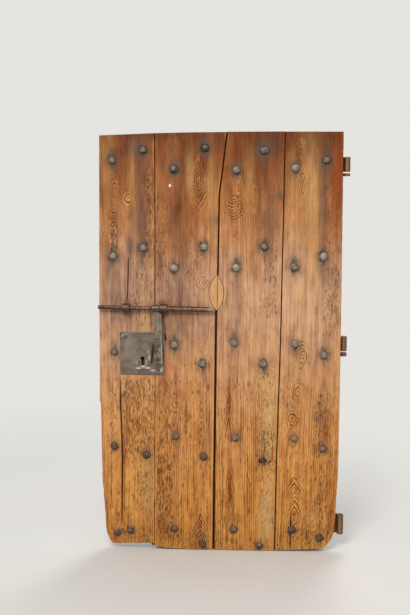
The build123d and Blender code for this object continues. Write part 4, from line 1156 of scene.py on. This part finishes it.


# Rod: painted highlight at the tip and down the middle, painted shade along its top and bottom edges
ROD_RUBS_AND_LIGHT = [
    (-34, 1121, 20, 9, 0, 1.0), (-440, 1128, 60, 2.5, 0, 0.2), (-460, 1124, 70, 6, 0, -0.3),
    (-150, 1123, 90, 3, 0, 0.4), (-330, 1126, 30, 3, 0, 0.4), (-520, 1130, 22, 12, 0, -0.6),
    (-440, 1138, 90, 2.5, 0, -0.6), (-150, 1134, 110, 2.5, 0, -0.5), (-150, 1110, 110, 3, 0, -0.6),
    (-440, 1118, 90, 2.5, 0, -0.5), (-205, 1122, 8, 12, 0, -0.4), (-120, 1122, 6, 12, 0, -0.35),
    (-300, 1125, 10, 12, 0, -0.5), (-95, 1121, 3, 9, 0.5, 0.3),
]
# Hasp: painted highlights down its right edges and on its block, painted shadow down its left side and under
# its foot, painted shade on the block's top, and rubbed and sooty hammer marks
HASP_RUBS_AND_LIGHT = [
    (-282, 1125, 30, 17, 0, -0.6), (-275, 1060, 9, 44, 0, 0.3), (-257.5, 1000, 2.2, 100, 0, 0.7),
    (-292, 1010, 3.0, 90, 0, -0.5), (-290, 935, 3.5, 34, -0.8, -1.0), (-256, 905, 2.5, 50, 0, 0.5),
    (-274, 872, 22, 3.5, 0, -0.8), (-288, 914, 2.6, 13, 0.8, 1.0), (-274, 968, 22, 5, 0, -0.55),
    (-276, 976, 18, 3, 0.3, 0.2), (-276, 950, 9, 7, -0.5, -0.5), (-266, 940, 5, 9, 0.6, 0.5),
    (-280, 928, 6, 8, -0.6, -0.6), (-268, 912, 6, 10, 0.5, 0.35), (-276, 893, 12, 13, -0.7, -0.75),
    (-262, 884, 5, 8, 0.3, 0.2), (-270, 922, 3, 5, -0.5, -0.8), (-283, 900, 3, 5, 0.5, 0.4),
    (-264, 960, 7, 5, 0, -0.4),
]
# Plate: ridges rubbed bright round the keyhole, dents and darker patches, and the painted shadow of the hasp
# at (-301, 905) and (-298, 945)
PLATE_RUBS_AND_SHADOW = [
    (-364, 850, 11, 3.2, 1.8, 1.0), (-342, 857, 13, 3.2, 2.0, 1.0), (-320, 851, 12, 3.6, 1.8, 1.0),
    (-300, 840, 13, 4, 1.6, 0.9), (-328, 878, 4, 11, 1.4, 1.0), (-314, 898, 5, 13, 0.7, 0.9),
    (-320, 925, 6, 10, 0.0, 0.5), (-264, 842, 9, 8, 1.4, 1.0), (-301, 905, 6, 32, -0.6, -1.0),
    (-298, 945, 5, 26, -0.3, -0.7), (-256, 852, 5, 6, 0.8, 0.6), (-276, 836, 8, 3, 0.8, 0.5),
    (-330, 840, 30, 4, -0.5, -0.4), (-306, 880, 4, 8, -0.6, -0.8), (-322, 912, 3, 6, -0.5, -0.6),
    (-310, 866, 5, 5, -0.4, -0.5), (-372, 876, 5, 8, 0.9, 0.5), (-432, 997, 4, 9, 1.0, 0.7),
    (-420, 993, 6, 6, -0.8, -0.9), (-430, 842, 6, 6, -0.6, -0.8), (-420, 1005, 8, 3, 0.6, 0.5),
    (-346, 971, 13, 2.5, -0.4, -0.6), (-345, 925, 30, 30, 0.0, -0.15), (-400, 960, 40, 40, 0.0, 0.15),
    (-247, 920, 3, 90, 0, -0.5), (-345, 822, 100, 3, 0, -0.4), (-395, 898, 40, 30, 0.0, 0.1),
    (-300, 1008, 50, 5, 0, -0.3),
]
# A painted highlight down the front of each rolled hinge eye
HINGE_HIGHLIGHTS = [
    (553, 116, 10, 60, 0, 0.75), (553, 952, 10, 60, 0, 0.75), (553, 1748, 10, 60, 0, 0.75),
]
STAPLE_RUBS = [
    (-415, 1131, 5, 20, 0, 0.1), (-415, 1118, 24, 6, 0, -0.4), (-247, 1124, 5, 20, 0, 0.1),
    (-247, 1112, 24, 6, 0, -0.4),
]
forged_copy("forged_rod", "bolt_rod", 1.5, BOLT_IRON, "rod", 0.4, 2, 11, ROD_RUBS_AND_LIGHT)
for seed, side in ((13, "left"), (15, "right")):
    forged_copy(
        "rod_staple_" + side, "bolt_staple_" + side, 1.4, BOLT_IRON, "leaf", 0.5, 2, seed,
        STAPLE_RUBS)
forged_copy("forged_hasp", "hasp", 1.3, HASP_IRON, "hasp", 0.35, 2, 17, HASP_RUBS_AND_LIGHT)
forged_copy("forged_hasp_loop", "hasp_loop", 0.9, HASP_IRON, "hasp", 0.1, 2, 19)
forged_copy("beaten_plate", "lock_plate", 1.25, PLATE_IRON, "leaf", 0.3, 2, 21, PLATE_RUBS_AND_SHADOW)
forged_copy("plate_nails", "lock_plate_nails", 0.8, SMALL_IRON, "leaf", 0.1, 1, 23)
forged_copy("works_rivets", "lock_rivets", 0.6, SMALL_IRON, "leaf", 0.05, 1, 25)
for number, name in enumerate(("top", "middle", "bottom")):
    hinge_seed = 31 + 2 * number
    forged_copy(
        "rolled_hinge_" + name, "hinge_" + name, 2.2, HINGE_IRON, "leaf", 0.35, 2, hinge_seed,
        HINGE_HIGHLIGHTS)
    nail_seed = 41 + 2 * number
    forged_copy(
        "strap_nails_" + name, "hinge_nails_" + name, 1.1, SMALL_IRON, "leaf", 0.15, 1,
        nail_seed)
# The works behind the plate keep their own shapes
for name in ("lock_wards", "lock_bolt", "lock_guides", "lock_spring"):
    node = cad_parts[name]
    node.data.materials.clear()
    node.data.materials.append(WORKS_IRON)


# Floor, light and camera

BACKGROUND = "#E6E4E0"
# The middle of the leaf, in metres from the hinge axis, and the place on it that the lamps face
LEAF_X = -0.55
LIT_PLACE = (LEAF_X, 0.0, 0.8)


def seen_directly(tree):
    # 1 where the camera sees it, straight, in a reflection or through glass
    rays = ("Is Camera Ray", "Is Glossy Ray", "Is Transmission Ray")
    path = [add(tree, "LightPath", give=name) for name in rays]
    either = add(tree, "Math", path[:2], operation="MAXIMUM")
    return add(tree, "Math", [either, path[2]], operation="MAXIMUM")


# Pale painted concrete, dull, with faint clouds
def plain_floor():
    material, tree = new_material("pale_floor")
    place = add(tree, "TexCoord", give="Object")
    cloud = add(tree, "TexNoise", {"Vector": place, "Scale": 0.9, "Detail": 3.0})
    colour = add(tree, "ValToRGB", [cloud], [(0.3, "#DAD8D2"), (0.7, "#E2E0DB")])
    ground = add(tree, "BsdfPrincipled", {"Base Color": colour, "Roughness": 0.85})
    # Far from the door the camera sees the floor in the background's own colour, so no horizon shows
    away = add(tree, "VectorMath", [place, (-LEAF_X, 0.0, 0.0)], operation="ADD")
    away = add(tree, "VectorMath", [away], operation="LENGTH", give="Value")
    away = add(tree, "MapRange", [away, 0.7, 3.2, 0.0, 1.0])
    fade = add(tree, "Math", [seen_directly(tree), away], operation="MULTIPLY")
    glow = add(tree, "Emission", [linear(BACKGROUND), 1.0])
    shader = add(tree, "MixShader", [fade, ground, glow])
    add(tree, "OutputMaterial", [shader])
    bm = bmesh.new()
    bmesh.ops.create_grid(bm, x_segments=8, y_segments=8, size=9.0)
    bmesh.ops.translate(bm, verts=bm.verts[:], vec=(LEAF_X, 0.0, -ORIGIN[2] / 1000.0))
    mesh = bpy.data.meshes.new("floor")
    bm.to_mesh(mesh)
    bm.free()
    mesh.materials.append(material)
    floor = bpy.data.objects.new("floor", mesh)
    bpy.context.scene.collection.objects.link(floor)


def studio_world(strength):
    # An even soft light, and a plain pale background where the camera looks past the floor
    world = bpy.data.worlds.new("studio")
    world.use_nodes = True
    bpy.context.scene.world = world
    tree = world.node_tree
    tree.nodes.clear()
    seen = seen_directly(tree)
    colour = add(tree, "Mix", {0: seen, 6: (1.0, 1.0, 1.0, 1.0), 7: linear(BACKGROUND)}, **COLOURS)
    power = add(tree, "MapRange", [seen, 0.0, 1.0, strength, 1.0])
    light = add(tree, "Background", [colour, power])
    add(tree, "OutputWorld", [light])


def soft_lamp(name, place, size, power):
    # A square lamp of this size in metres and power in watts, turned to the leaf
    lamp = bpy.data.lights.new(name, "AREA")
    lamp.shape = "SQUARE"
    lamp.size = size
    lamp.energy = power
    holder = bpy.data.objects.new(name, lamp)
    holder.location = place
    holder.rotation_euler = (Vector(LIT_PLACE) - Vector(place)).to_track_quat("-Z", "Y").to_euler()
    bpy.context.scene.collection.objects.link(holder)


plain_floor()
studio_world(0.5)
soft_lamp("key_light", (-1.3, -2.9, 3.4), 1.4, 95.0)
soft_lamp("back_light", (0.6, 3.2, 2.8), 1.8, 75.0)

# The camera stands where the photograph was taken from. It looks down and to the left by these angles
LOOK_DOWN = 7.29
LOOK_LEFT = 2.45
lens = bpy.data.cameras.new("camera")
lens.sensor_fit = "VERTICAL"
lens.sensor_height = 36.0
lens.lens = 51.5
camera = bpy.data.objects.new("camera", lens)
camera.location = (-0.456, -3.931, 1.508)
camera.rotation_euler = (radians(90.0 - LOOK_DOWN), 0.0, radians(LOOK_LEFT))
bpy.context.scene.collection.objects.link(camera)
bpy.context.scene.camera = camera
bpy.context.scene.view_settings.view_transform = "Standard"
